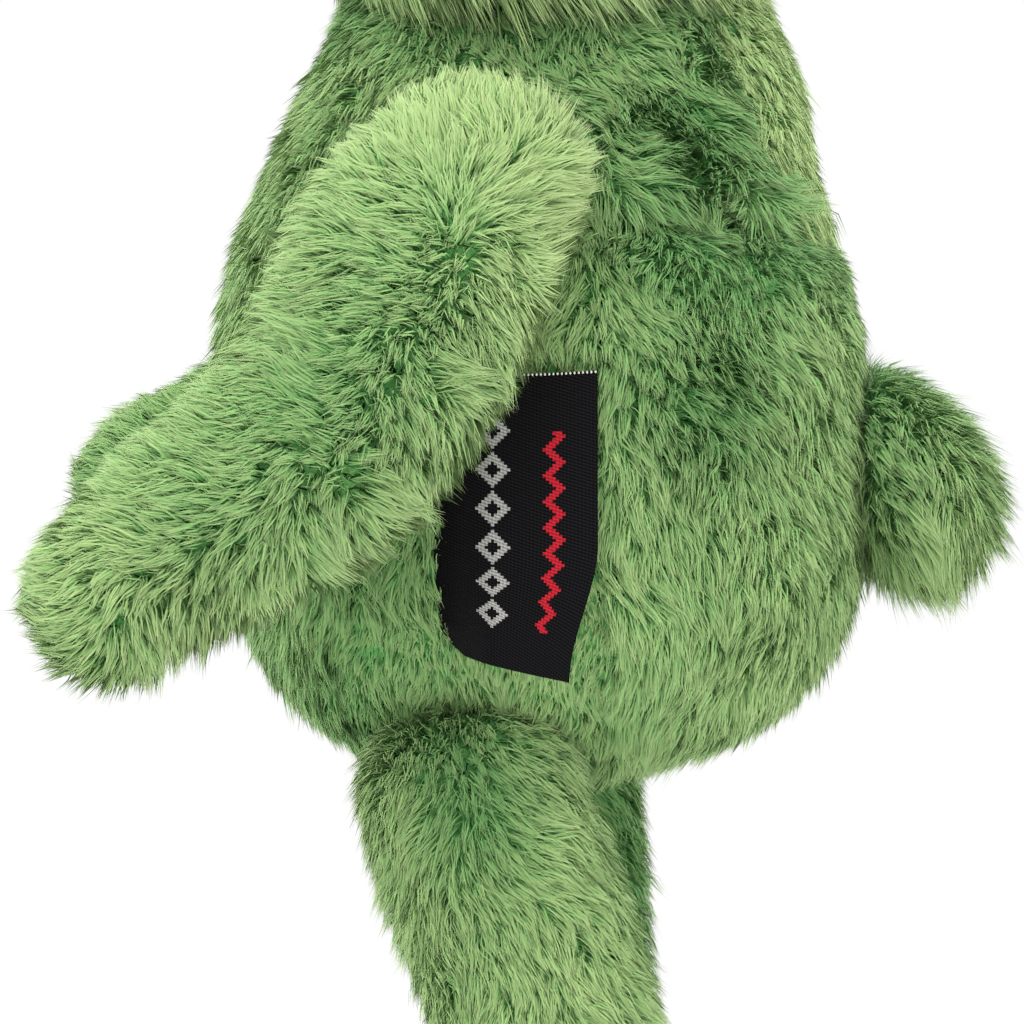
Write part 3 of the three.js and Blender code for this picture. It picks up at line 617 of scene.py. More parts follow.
# %% Torso form
belly_radius, belly_height, belly_plump, belly_ease = 27.1, 26.0, 2.6, 18
neck_radius, neck_height, neck_pivot, neck_ease = 17.3, 66.0, 58.0, 14
neck_ball = math.hypot(neck_radius, neck_height - neck_pivot)
torso_squash = 50 / 54.2
back_seam, spine_seam = 45.8, 6.0
label_front, label_rear, label_foot, label_head = -7.5, 6, 10, 35.5


def torso_profile():
    """A plump bowl, a slope, and the ball that the head sits on."""
    points = []
    for i in range(14):
        a = math.pi / 2 * (1 - i / 14)
        across, down = (part ** (2 / belly_plump) for part in (math.cos(a), math.sin(a)))
        points.append((belly_radius * across, belly_height * (1 - down)))
    points[0] = (0, 0)
    rise = neck_height - neck_pivot
    points += bezier([
        (belly_radius, belly_height), (belly_radius, belly_height + belly_ease),
        (neck_radius + neck_ease * rise / neck_ball, neck_height - neck_ease * neck_radius / neck_ball),
        (neck_radius, neck_height),
    ], 23)
    first = math.atan2(rise, neck_radius)
    for i in range(1, 7):
        a = first + (math.pi / 2 - first) * i / 6
        points.append((neck_ball * math.cos(a), neck_pivot + neck_ball * math.sin(a)))
    points[-1] = (0, points[-1][1])
    return points


def spine_line(z):
    """How far left of the middle the upright back seam runs at a height."""
    return spine_seam + 5.0 * between(z, 46, 6)


def torso_seams(p):
    """How deep the two back seams pinch the skin."""
    level = near(p.z, back_seam, 1.3) * between(p.y, 3, 5)
    spine = near(p.x, spine_line(p.z), 1.2) * (p.y > 0) * between(p.z, 44, 5)
    return max(2.4 * level, 1.8 * spine)


torso_skin = spun(torso_profile(), 64)
bmesh.ops.scale(torso_skin, vec=(torso_squash, 1, 1), verts=torso_skin.verts)
eased(torso_skin, depth=0.3, lump=0.8, size=13, seam=torso_seams)
# Millimetres that bring the outline nearer to the picture's at the neck, waist, chest and foot
for v in torso_skin.verts:
    high = between(v.co.z, 50, 10)
    waist = near(v.co.z, 51, 7) * between(v.co.y, 0, 15)
    chest = near(v.co.z, 41, 7) * between(v.co.y, 0, -20)
    foot = between(v.co.z, 13, -12)
    v.co.y += 1.0 * high - 0.9 * waist - 0.7 * chest - 0.8 * foot
    v.co.z += 0.7 * foot * between(v.co.y, 0, 12)
torso_skin.normal_update()
torso_surface = BVHTree.FromBMesh(torso_skin)
print("torso skin:", len(torso_skin.faces), "faces")


# %% Torso pile
# Spots, as depth and how far it spreads, height and how far it spreads: pile rubbed up high with painted
# shade, a painted shadow below the level seam, a spot of painted shade on the side and a rubbed-up tuft there
high_rub_and_shade, below_seam_shadow = (11, 6, 52, 7), (18, 6, 41.5, 3)
side_shade_spot, side_tuft = (13.5, 5.5, 32, 7), (13.5, 5, 32, 7)


def beyond_spine(p):
    return (p[:, 0] < spine_line(p[:, 2])) & (p[:, 1] > 3) & (p[:, 2] > back_seam - 1)


def torso_comb(p):
    x, y, z = p.T
    way = np.stack([0 * x, -0.35 * y / belly_radius, -np.ones_like(z)], axis=1)
    way[:, 1] += 0.7 * between(z, 43, 6) * between(y, 2, 6) * (x > spine_line(z))
    way[beyond_spine(p), :2] = 0
    return way


def torso_tone_with_painted_shading(p):
    """Painted light on the strip beyond the spine seam; painted shade in the seam creases, on rubbed spots,
    under the head, on the upper back, in front and low down.
    """
    x, y, z = p.T
    # Painted shade on the rubbed spots, and a painted shadow below the level seam
    dark = patch(p, *high_rub_and_shade) + 1.2 * patch(p, *below_seam_shadow) + 1.2 * patch(p, *side_shade_spot)
    # Painted light on the strip beyond the spine seam, which faces away from the main lamps
    strip_painted_light = beyond_spine(p) * between(z, 44, 4) * between(x, -6, 8)
    # Painted shade under the head
    under = between(z, 58, 5) * (y < 12) * (1 - strip_painted_light)
    # Painted shadow in the creases of both back seams
    crease = near(z, back_seam - 1.6, 1.6) * between(y, 5, 5)
    crease += near(x, spine_line(z) + 0.8, 1.0) * (y > 4) * between(z, 46, 4)
    # Painted shade on the upper back, in front, most on the lower front, and low down
    upper = between(z, 38, 8) * (y > 0) * (x > spine_line(z))
    ahead = (0.12 + 0.2 * between(z, 35, -12)) * between(y, -4, -12)
    low = between(z, 8, -8)
    # Painted shade of the spots and the creases, taken off the tone
    rubbed = 0.4 * dark * (x > 0) + 0.32 * crease
    return 0.52 + 0.62 * strip_painted_light - rubbed - 0.22 * under - 0.12 * upper - ahead - 0.12 * low


def torso_length(p):
    """A tuft over the level seam, shorter below it, and pressed under the label and at the hips."""
    x, y, z = p.T
    tuft = near(z, back_seam + 1.6, 1.5) * (0.4 + 0.6 * between(y, 16, 6)) * (y > 5)
    lip = near(z, back_seam - 4, 3) * between(y, 12, 8)
    pressed = (x > 0) & (y > label_front) & (y < label_rear) & (z > label_foot) & (z < label_head)
    hip = (np.abs(x) > 10) & (np.abs(y + 5) < 12) & (z < 14)
    free = 3.5 - 0.6 * between(z, 58, 6) + 1.6 * tuft - 1.3 * lip
    return free * np.where(pressed, 0.42, np.where(hip, 0.5, 1.0))


def torso_swirl(p):
    x, y, z = p.T
    rubbed = between(z, 38, 10) * between(y, -2, 6) * (x > spine_line(z))
    return 0.45 + 0.75 * rubbed - 0.4 * beyond_spine(p)


def torso_keep(p):
    return between(p[:, 2], 68, -2) * np.where(p[:, 0] < -3, 0.7, 1.0)


def torso_upright(p):
    back = patch(p, *high_rub_and_shade) + patch(p, *side_tuft)
    return np.where(beyond_spine(p), -0.45, np.clip(0.85 * back * (p[:, 0] > 0), 0, 0.85))


torso_pile = Pile(torso_comb, 11, locks=2.4, length=torso_length, tone=torso_tone_with_painted_shading, swirl=torso_swirl,
                  keep=torso_keep, upright=torso_upright, width=0.115, lift=(66, 3))
stuffed("torso", torso_skin, torso_pile, Matrix())

# %% [markdown]
# ## Arms
# Each arm is a soft sausage with a slight elbow and a flat back that lies against the side. Its pile
# runs to the paw and fans out over both edges. Painted shade darkens the middle, so the edges look paler, and
# painted light brightens the shoulder.

# %% Arms
shoulder_radius, paw_radius, arm_swell = 6.8, 7.2, 1.9
arm_span, arm_bend, arm_back, arm_flat = 44.5, 4.2, 4.0, 0.86
shoulder = Vector((23.2817, -2.8, 47.75))
arm_tilt = math.radians(20)


def arm_skin():
    """The bent sausage, fuller in front below the shoulder, with its inner side pressed flat."""
    skin = spun(limb_profile(shoulder_radius, paw_radius, arm_span, arm_swell), 32)
    for v in skin.verts:
        share = between(v.co.z, 0, -arm_span)
        broad = 1 - 0.1 * between(v.co.z, -28, -14) + 0.45 * near(share, 0.17, 0.23) * (v.co.y < 0)
        y = v.co.y * broad + arm_bend * math.sin(math.pi * share)
        v.co = Vector((v.co.x * arm_flat + arm_back, y, v.co.z))
    eased(skin, depth=0.5, lump=0.5, size=11)
    for v in skin.verts:
        v.co.x = max(v.co.x, 0.5)
    skin.normal_update()
    return skin


def arm_parting(p):
    """How far down the arm a place is, and how far behind the line where the pile parts."""
    share = np.clip(-p[:, 2] / arm_span, -0.2, 1)
    line = arm_bend * np.sin(math.pi * np.clip(share, 0, 1)) + 3.5 + 2.0 * between(share, 0.42, 0.25)
    return share, p[:, 1] - line


def arm_piece(body, degrees, mirror, seed):
    def comb(p):
        share, off = arm_parting(p)
        rear = 0.5 + 0.5 * np.tanh((off + 1.5 * wavy(p, 7, seed + 9)) / 4)
        across = 2 * rear - 1 + 0.25 * wavy(p, 9, seed + 7)
        lean = 0.8 * np.clip(1 - share / 0.16, 0, 1.2) + 0.25 * wavy(p, 9, seed + 8)
        lean -= 0.65 * (1 - rear) * between(share, 0.12, 0.15) + 0.9 * rear * between(share, 0.75, 0.2)
        return np.stack([0 * off, across, lean], axis=1)

    def tone(p):
        share, off = arm_parting(p)
        # Painted shade down the middle of the arm, where the pile is seen end-on
        middle = near(share, 0.5, 0.3) * near(off, -4.5, 5.5)
        # Painted light on the shoulder, where the light falls from above, and behind the parting
        painted_light = 1.1 * np.clip(0.3 - share, 0, 0.4) + 0.12 * between(off, 0.5, 2)
        # Painted light at the paw's end and painted shade above it in front
        paw_painted_shading = 0.1 * between(share, 0.8, 0.2) - 0.06 * between(share, 0.6, 0.2) * (off < 0)
        # Painted shade on the far arm's inner side
        return 0.6 - 0.4 * middle + painted_light + paw_painted_shading - 0.25 * mirror * (p[:, 0] < 4)

    def length(p):
        return np.where(p[:, 0] < 1.0, 2.0, np.where(p[:, 2] < -44, 3.1, 3.5))

    turned = Matrix.Rotation(-arm_tilt, 4, "Y") @ Matrix.Rotation(math.radians(-degrees), 4, "X")
    place = Matrix.Translation(shoulder) @ turned
    if mirror:
        place = Matrix.Scale(-1, 4, (1, 0, 0)) @ place
    pile = Pile(comb, seed, locks=1.5 if mirror else 2.5, length=length, width=0.13, tone=tone, swirl=0.4,
                keep=lambda p: np.where(p[:, 0] < 1.0, 0.7, 1.0), down=downwards(turned),
                upright=lambda p: 0.1 + 0.4 * near(arm_parting(p)[1], 0, 3))
    stuffed(body, arm_skin(), pile, place)


arm_piece("left_arm", 38.5, False, 21)
arm_piece("right_arm", 55, True, 22)

# %% [markdown]
# ## Legs
# A leg is a sausage too, with a round foot that points forwards. The two forms are joined and
# remeshed into one skin, so the pile runs from shin to foot without a step.

# %% Legs
leg_top, leg_bottom, leg_span, leg_plump, leg_length = 9, 8, 35, 2.8, 43
foot_half_size, foot_reach = (9, 13.5, 7.5), 4.5
hip_across, hip_depth, hip_stagger, hip_height = 13, -3.4, 1.6, -2.4


def remeshed(bm, voxel):
    """The same closed form as one even skin."""
    mesh = bpy.data.meshes.new("mould")
    bm.to_mesh(mesh)
    bm.free()
    mould = placed("mould", mesh)
    grid = mould.modifiers.new("grid", "REMESH")
    grid.mode = "VOXEL"
    grid.voxel_size = voxel
    made = bmesh.new()
    made.from_mesh(mould.evaluated_get(bpy.context.evaluated_depsgraph_get()).to_mesh())
    bpy.data.objects.remove(mould)
    bpy.data.meshes.remove(mesh)
    return smoothed(made, 4)


def leg_skin():
    """A sausage with a squared top, joined to a foot."""
    skin = spun(limb_profile(leg_top, leg_bottom, leg_span, 0), 32)
    for v in skin.verts:
        if v.co.z > 0:
            up = v.co.z / leg_top
            v.co.xy *= (1 - up ** leg_plump) ** (1 / leg_plump) / max(math.sqrt(1 - up ** 2), 0.02)
    foot = bmesh.ops.create_uvsphere(skin, u_segments=32, v_segments=16, radius=1)["verts"]
    bmesh.ops.scale(skin, vec=foot_half_size, verts=foot)
    bmesh.ops.translate(skin, vec=(0, -foot_reach, foot_half_size[2] - leg_length), verts=foot)
    return eased(remeshed(skin, voxel=1.0), depth=0.5, lump=0.6, size=12)


def leg_comb(p):
    x, y, z = p.T
    ahead, top = between(z, -30, -8), between(z, 1, 6)
    return np.stack([(0.1 + top) * x / 9, (0.15 + top) * y / 9 - 0.9 * ahead, -1 + 0.6 * ahead], axis=1)


def leg_piece(body, side, lean, seed):
    # A whorl on the leg's top where the pile stands up; the tone below paints it darker as painted shade
    def rubbed(p):
        return patch(p, 0.3, 3.6, 1.0, 5.5) * (p[:, 0] * side > 0)

    # Painted shade on the whorl, and on the far leg's inner side, which lies in the near leg's shade
    def tone(p):
        return 0.62 - 0.5 * rubbed(p) - 0.6 * (side < 0) * between(p[:, 0], -2, 4)

    turned = Matrix.Rotation(math.radians(lean), 4, "X")
    hip = Matrix.Translation((side * hip_across, hip_depth - hip_stagger * side, hip_height))
    pile = Pile(leg_comb, seed, locks=2.4 if side > 0 else 1.5, under=8, tone=tone, swirl=0.5,
                down=downwards(turned), upright=lambda p: 0.6 * rubbed(p),
                keep=lambda p: between(p[:, 2], 8.5, -2),
                face_way=lambda p, n: levelled(n, 0.8 * between(p[:, 2], -6, 5)))
    stuffed(body, leg_skin(), pile, hip @ turned)


leg_piece("left_leg", 1, 19, 31)
leg_piece("right_leg", -1, 5, 32)

# %% [markdown]
# ## Tail
# The tail is a little pom-pom sewn to the back. Its pile stands out all round from the place where it
# is sewn on, and the tips droop.

# %% Tail
tail_centre, tail_half_size, tail_root = Vector((0, 30.7, 25)), (8, 7.5, 9), 27.5
tail_skin = bmesh.new()
bmesh.ops.create_icosphere(tail_skin, subdivisions=4, radius=1)
bmesh.ops.scale(tail_skin, vec=tail_half_size, verts=tail_skin.verts)
eased(tail_skin, depth=1.0, lump=0.3, size=8)
for v in tail_skin.verts:
    slant = 0.36 if v.co.z > 0 else 0.22
    v.co.y = max(v.co.y - slant * v.co.z, tail_root - tail_centre.y)
tail_skin.normal_update()


def tail_comb(p):
    return p * np.array([1, 0.3, 1]) + np.array([0, 2.5, -3.0])


def tail_tone(p):
    return 0.4 + 0.18 * p[:, 1] / 7 - 0.28 * p[:, 2] / 9


tail_pile = Pile(tail_comb, 41, locks=2.8, under=8, length=4.4, lift=(80, 30), tone=tail_tone, swirl=0.4,
                 droop=0.45)
stuffed("tail", tail_skin, tail_pile, Matrix.Translation(tail_centre))

# %% [markdown]
# ## Head
# The head lies above the picture, so only its lower edge is known: pale pile that overhangs the
# neck, with painted light on the chin's underside. The rest is a plain rabbit's head: a wide egg with a small
# muzzle and a clipped face, so that the eyes, nose and mouth stay clear of the long pile.

# %% Head form
head_centre = Vector((0, -2, 86))
head_width, head_depth, head_height, head_plump = 54, 48, 46, 2.4
muzzle_reach, muzzle_radius, muzzle_drop = 3.2, 10, 7
cheek_height, cheek_spread, cheek_swell, cheek_back = -17, 6, 0.2, 1.2
eye_across, eye_up = 12.5, 4.0
neck_place = Vector((0, 0, neck_pivot)) - head_centre
neck_gap = 0.7


def muzzle(x, z):
    """How far the muzzle stands out at a place on the face."""
    return muzzle_reach * math.exp(-(x * x + (z + muzzle_drop) ** 2) / muzzle_radius ** 2)


def face_depth(x, z):
    """How far forward the face lies at a place on it, measured from the head's centre."""
    level = (1 - (abs(z) / (head_height / 2)) ** head_plump) ** (1 / head_plump)
    return -head_depth / 2 * math.sqrt(max(level ** 2 - (x / (head_width / 2)) ** 2, 0)) - muzzle(x, z)


def head_profile():
    points = []
    for i in range(33):
        a = math.pi * (i / 32 - 0.5)
        across, up = (abs(part) ** (2 / head_plump) for part in (math.cos(a), math.sin(a)))
        points.append((head_depth / 2 * across, head_height / 2 * math.copysign(up, a)))
    points[0], points[-1] = (0, -head_height / 2), (0, head_height / 2)
    return points


head_skin = spun(head_profile(), 56)
for v in head_skin.verts:
    if v.co.y < 0:
        v.co.y -= muzzle(v.co.x, v.co.z)
    cheek = near(v.co.z, cheek_height, cheek_spread)
    v.co.x *= head_width / head_depth * (1 + cheek_swell * cheek)
    v.co.y += cheek_back * cheek * (v.co.y < 0)
eased(head_skin, depth=0.6, lump=0.5, size=15)
for v in head_skin.verts:
    away = v.co - neck_place
    round_away = Vector((away.x / torso_squash, away.y, away.z))
    if round_away.length < neck_ball + neck_gap:
        v.co = neck_place + away * ((neck_ball + neck_gap) / round_away.length)
head_skin.normal_update()
head_surface = BVHTree.FromBMesh(head_skin)


def skin_depth(x, z):
    """How far forward the sewn skin lies at a place on the face, under its pile."""
    return head_surface.ray_cast(Vector((x, -60, z)), Vector((0, 1, 0)))[0].y


print("skin behind the drawn face:", round(skin_depth(0, -3) - face_depth(0, -3), 2), "mm")

# %% Head pile
muzzle_tip = np.array([0, face_depth(0, -5), -5.0])
eye_spots = [np.array([side * eye_across, face_depth(eye_across, eye_up), eye_up]) for side in (1, -1)]


def head_comb(p):
    away = unit(p - muzzle_tip)
    away[:, 1] += 0.3
    away[:, 2] -= 0.5 + 0.5 * (p[:, 2] < -8)
    return away


def head_length(p):
    """Clipped round the nose and the eyes, and longest along the chin's edge."""
    from_nose = np.linalg.norm((p - muzzle_tip) / np.array([1.1, 1, 1]), axis=1)
    from_eye = np.min([np.linalg.norm(p - spot, axis=1) for spot in eye_spots], axis=0)
    clipped = between(from_nose, 5, 12) * np.clip((from_eye - 2.5) / 5, 0.25, 1)
    chin, front = between(p[:, 2], -13, -4), between(p[:, 1], -10, -4)
    return 1.2 + 2.8 * clipped * np.where(p[:, 1] < -8, 0.8, 1.0) + chin * (2.6 - 3.8 * front)


def head_keep(p):
    """No pile where the head sits on the neck, nor where the tape comes out of the crown."""
    under = np.linalg.norm((p - np.array(neck_place)) / np.array([torso_squash, 1, 1]), axis=1)
    tape = np.hypot(p[:, 0] / 5.5, (p[:, 1] - 0.2) / 4) + (p[:, 2] < 15)
    return between(under, neck_ball + 0.72, 0.2) * between(tape, 0.75, 0.3)


def chin_edge(p):
    return between(p[:, 2], -11, -5)


# Painted light on the head's lower part, the chin's underside, which faces down away from the lamps
head_pile = Pile(head_comb, 51, locks=1.6, under=7, length=head_length, width=0.13, swirl=0.4, lift=(70, 10),
                 tone=lambda p: 0.56 + 0.24 * (p[:, 2] < -12), keep=head_keep,
                 face_way=lambda p, n: levelled(n, chin_edge(p)), droop=lambda p: 0.2 + chin_edge(p))
stuffed("head", head_skin, head_pile, Matrix.Translation(head_centre))

# %% [markdown]
# ## Ears
# An ear is a leaf of plush with a paler, short-piled lining in front. A grid is drawn in to the leaf's
# outline row by row, cupped a little, and given thickness, which keeps its points evenly spread.

# %% Ears
ear_length, ear_low, ear_width, ear_across = 50.0, -5.0, 15.0, 16
ear_rise = head_height / 2 * (1 - (ear_across / (head_width / 2)) ** head_plump) ** (1 / head_plump) + 2


def leaf_half_width(width, length):
    """Half the leaf's width at any height, from the same two curves as the solid's outline."""
    side, root, tip = width / 2, width * 0.42, width * 0.25
    lower = [(0, ear_low), (root, ear_low), (side, length * 0.3), (side, length * 0.55)]
    upper = [(side, length * 0.55), (side, length * 0.85), (tip, length), (0, length)]
    halves, heights = zip(*bezier(lower, 40), *bezier(upper, 40))
    return lambda z: float(np.interp(z, heights, halves))


def ear_leaf(width, length, thickness, cup, low, ahead):
    """A cupped leaf with a thickness, set ahead of the ear's middle by a distance."""
    bm = bmesh.new()
    bmesh.ops.create_grid(bm, x_segments=12, y_segments=44, size=0.5)
    half = leaf_half_width(width, length)
    for v in bm.verts:
        z = low + (length - 0.15 - low) * (v.co.y + 0.5)
        x = 2 * v.co.x * max(half(z), 0.2)
        v.co = Vector((x, cup * (1 - (2 * v.co.x) ** 2), z))
    bmesh.ops.recalc_face_normals(bm, faces=bm.faces)
    bmesh.ops.solidify(bm, geom=bm.faces, thickness=thickness)
    bmesh.ops.recalc_face_normals(bm, faces=bm.faces)
    smoothed(bm, 2)
    bm.normal_update()
    bmesh.ops.translate(bm, vec=(0, -ahead, 0), verts=bm.verts)
    return bm


def ear_comb(p):
    return np.stack([0.5 * p[:, 0] / 7, 0 * p[:, 0], np.ones(len(p))], axis=1)


def back_keep(p):
    return np.where((p[:, 1] < 0.1) & (np.abs(p[:, 0]) < 4.4), 0.15, 1.0)


def lining_keep(p):
    return np.where(p[:, 1] > 0.1, 0.05, 1.0)


for name, side, seed in (("left_ear", 1, 61), ("right_ear", -1, 64)):
    pivot = Matrix.Translation((side * ear_across, head_centre.y, head_centre.z + ear_rise))
    place = pivot @ Matrix.Rotation(math.radians(side * 7), 4, "Y")
    back = ear_leaf(ear_width - 1.2, ear_length - 1.0, thickness=1.6, cup=0.8, low=-1.5, ahead=-0.4)
    back_pile = Pile(ear_comb, seed, locks=1.8, under=5, blades=7, length=3.0, width=0.19, lift=(46, 10),
                     tone=0.55, keep=back_keep, droop=0.1)
    plush_piece(f"{name}_back_plush", back, back_pile, place, name, [f"{name}_back"], plush)
    lining = ear_leaf(ear_width - 4.6, ear_length - 2.6, thickness=0.7, cup=0.9, low=-1.2, ahead=0.6)
    lining_pile = Pile(ear_comb, seed + 1, locks=4.2, under=3, blades=5, length=1.3, width=0.16,
                       lift=(40, 12), tone=0.55, swirl=0.25, keep=lining_keep, droop=0.0)
    plush_piece(f"{name}_lining_plush", lining, lining_pile, place, name, [f"{name}_lining"],
                lining_plush)

# %% [markdown]
# ## Eyes, nose and mouth
# The eyes are glossy moulded domes, turned to face the way the head faces there, which comes from the
# slope of the head's own form. The nose is a pad of satin stitches, thread laid close beside thread,
# and the mouth is one thick thread. Both lie on the sewn skin, which a ray cast finds.

# %% Eyes
def facing(x, z):
    """The direction straight out of the face at a place on it."""
    small = 0.05
    slope_x = (face_depth(x + small, z) - face_depth(x - small, z)) / (2 * small)
    slope_z = (face_depth(x, z + small) - face_depth(x, z - small)) / (2 * small)
    return Vector((slope_x, -1, slope_z)).normalized()


def piece(name, bm, place, body, replaced, finish_used, crease=35):
    """A finished hard or stitched piece from a form in millimetres, smooth up to a crease angle."""
    bmesh.ops.recalc_face_normals(bm, faces=bm.faces)
    mesh = bpy.data.meshes.new(name)
    bm.to_mesh(mesh)
    bm.free()
    mesh.transform(to_frame @ place)
    mesh.polygons.foreach_set("use_smooth", [True] * len(mesh.polygons))
    mesh.set_sharp_from_angle(angle=math.radians(crease))
    mesh.materials.append(finish_used)
    made = placed(name, mesh)
    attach(made, body)
    if replaced:
        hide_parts(*replaced)
    print(f"{name}: {len(mesh.polygons)} faces")
    return made


def turned_to(direction):
    """A turn that brings the Z axis to a direction."""
    return direction.to_track_quat("Z", "Y").to_matrix().to_4x4()


def ball():
    bm = bmesh.new()
    bmesh.ops.create_uvsphere(bm, u_segments=40, v_segments=20, radius=1)
    return bm


eye_half_size = (3.2, 3.2, 2.6)
eye_gloss = finish("eye_gloss", 0.08, 0.28, colour="070606")[0]
washer_plastic = patterned("washer_plastic", "e9e6dc", (0.4, 0.4), [(0.3, "dedbd0"), (0.7, "efece3")],
                           "TexNoise", {"Scale": 900})
for name, side in (("left_eye", 1), ("right_eye", -1)):
    bm = ball()
    bmesh.ops.scale(bm, vec=eye_half_size, verts=bm.verts)
    spot = head_centre + Vector((side * eye_across, face_depth(eye_across, eye_up), eye_up))
    place = Matrix.Translation(spot) @ turned_to(facing(side * eye_across, eye_up))
    piece(f"{name}_dome", bm, place, "head", [name], eye_gloss)
    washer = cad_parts[f"{name}_washer"]
    washer.data.materials.clear()
    washer.data.materials.append(washer_plastic)
print("washers keep their solids inside the head")

# %% Nose and mouth
nose_half_size, nose_height, nose_sunk = (3.5, 2.6, 2.5), -3, 0.3
mouth_half_width, mouth_height, mouth_dip, mouth_sunk, mouth_radius = 4, -5.5, 4, 0.7, 0.5
thread_finish = patterned("nose_thread", "4a2a2e", (0.55, 0.35), [(0.0, "34191d"), (1.0, "5d363b")],
                          "TexWave", {"Scale": 800, "Distortion": 0.6, "Detail": 1.0}, (0.6, 0.0002),
                          bands_direction="X")
nose = ball()
for v in nose.verts:
    width, depth, height = nose_half_size
    v.co = Vector((v.co.x * width * (0.86 + 0.22 * v.co.z), v.co.y * depth, v.co.z * height))
nose_spot = head_centre + Vector((0, skin_depth(0, nose_height) - nose_sunk, nose_height))
piece("nose_pad", nose, Matrix.Translation(nose_spot), "head", ["nose_embroidery"], thread_finish)


def mouth_point(across):
    x, z = across * mouth_half_width, mouth_height - mouth_dip * (1 - across * across)
    return Vector((x, skin_depth(x, z) - mouth_sunk, z))


def tube(path, radius, sides=10):
    """A closed round thread along a path."""
    bm = bmesh.new()
    rings = []
    for i, spot in enumerate(path):
        along = (path[min(i + 1, len(path) - 1)] - path[max(i - 1, 0)]).normalized()
        place = Matrix.Translation(spot) @ turned_to(along)
        rings.append(bmesh.ops.create_circle(bm, segments=sides, radius=radius, matrix=place)["verts"])
    for one, two in zip(rings, rings[1:]):
        for k in range(sides):
            bm.faces.new((one[k], one[(k + 1) % sides], two[(k + 1) % sides], two[k]))
    bmesh.ops.holes_fill(bm, edges=bm.edges, sides=0)
    return bm


mouth = tube([mouth_point(i / 12 - 1) for i in range(25)], mouth_radius)
mouth_place = Matrix.Translation(head_centre)
piece("mouth_thread", mouth, mouth_place, "head", ["mouth_stitch"], thread_finish)

# %% [markdown]
# ## Label
# A black woven flag is sewn in by its front edge, which follows the body's curve, and lies on the pile
# of the left side. Woven labels show fine ribs, and a pattern made of whole threads, so the pattern's
# edges run in steps. The real one carries lettering; here a plain row of lozenges and a zigzag stand
# in its place.

# %% Label weave
label_width, label_length, label_top, label_out = 13.5, 25.0, 33.3, 26.9
thread_step, rib_step, warp_step = 0.26, 0.27, 0.3
lozenge_middle, lozenge_run, lozenge_half_width, lozenge_half_height, lozenge_hole = 5.0, 3.12, 1.5, 1.4, 0.42
zigzag_middle, zigzag_reach, zigzag_half_width = 9.3, 1.04, 0.42
label_weave, tree, sockets = finish("label_weave", 0.85, 0.05, colour="0c0c0e")


def step(kind, *given):
    return calc(tree, kind, *given)


def product(first, second):
    return step("MULTIPLY", first, second)


def apart(first, second):
    return step("ABSOLUTE", step("SUBTRACT", first, second))


def stepped(given):
    """A measure that moves on by whole threads."""
    return product(step("FLOOR", step("DIVIDE", given, thread_step)), thread_step)


def inside(given, low, high):
    return product(step("GREATER_THAN", given, low), step("LESS_THAN", given, high))


split = add(tree, "SeparateXYZ", {0: add(tree, "UVMap", uv_map="LabelWeave").outputs[0]}).outputs
across, height = product(split["X"], label_width), product(split["Y"], label_length)
column, row = stepped(across), stepped(height)
sideways = step("DIVIDE", apart(column, lozenge_middle), lozenge_half_width)
upwards = step("DIVIDE", apart(step("MODULO", row, lozenge_run), lozenge_run / 2), lozenge_half_height)
lozenges = product(inside(step("ADD", sideways, upwards), lozenge_hole, 1.0), inside(row, 2.9, 21.8))
off_zigzag = apart(step("SUBTRACT", column, zigzag_middle), step("PINGPONG", row, zigzag_reach))
zigzag = product(step("LESS_THAN", off_zigzag, zigzag_half_width), inside(row, 3.6, 20.2))
slant = step("ADD", height, product(across, 0.35))
rib = step("SINE", product(slant, 2 * math.pi / rib_step))
warp = step("SINE", product(across, 2 * math.pi / warp_step))
weave = step("MULTIPLY_ADD", rib, 0.35, step("MULTIPLY_ADD", warp, 0.15, 0.5))
ground, grey, red = (ramp(tree, weave, [(0.0, dark), (1.0, light)]) for dark, light in (
    ("010102", "1a191b"), ("6a6967", "b0aeaa"), ("7c141e", "bd2632")))
put(tree, sockets["Base Color"], mixed(tree, zigzag, mixed(tree, lozenges, ground, grey), red))
raise_pattern(tree, sockets, weave, 0.5, 0.0001)
print("label weave:", len(tree.nodes), "nodes")


# %% Label cloth
def eased_step(t):
    t = min(max(t, 0), 1)
    return t * t * (3 - 2 * t)


def label_point(a, b):
    """A place on the hanging label: a runs from its sewn edge to its free edge, b from top to foot."""
    low = eased_step((b - 0.55) / 0.45)
    corner = 0.09 * max(0, 1 - a / 0.16) * max(0, (b - 0.9) / 0.1) ** 2
    y = label_front + label_width * (a + corner - 0.17 * low * a * a + 0.03 * low * (1 - a))
    z = label_top - label_length * b + 2.6 * (1 - a) * low - 0.25 * math.sin(math.pi * a)
    bow = 0.35 * math.sin(math.pi * b) + 1.5 * low * (1 - a) ** 1.5 + 0.25 * math.sin(2.3 * a + 5 * b)
    seam_x = torso_surface.ray_cast(Vector((60, y, z)), Vector((-1, 0, 0)))[0].x + 0.4
    x = label_out + bow
    return Vector((x + (seam_x - x) * (1 - eased_step(a / 0.4)), y, z))


bm = bmesh.new()
bmesh.ops.create_grid(bm, x_segments=36, y_segments=64, size=0.5)
uv_layer = bm.loops.layers.uv.new("LabelWeave")
flat_place = {v: (v.co.x + 0.5, 0.5 - v.co.y) for v in bm.verts}
for face in bm.faces:
    for loop in face.loops:
        a, b = flat_place[loop.vert]
        loop[uv_layer].uv = (a, 1 - b)
for v in bm.verts:
    v.co = label_point(*flat_place[v])
bmesh.ops.recalc_face_normals(bm, faces=bm.faces)
bmesh.ops.solidify(bm, geom=bm.faces, thickness=0.4)
label = piece("woven_label", bm, Matrix(), "label", ["side_label"], label_weave, 60)

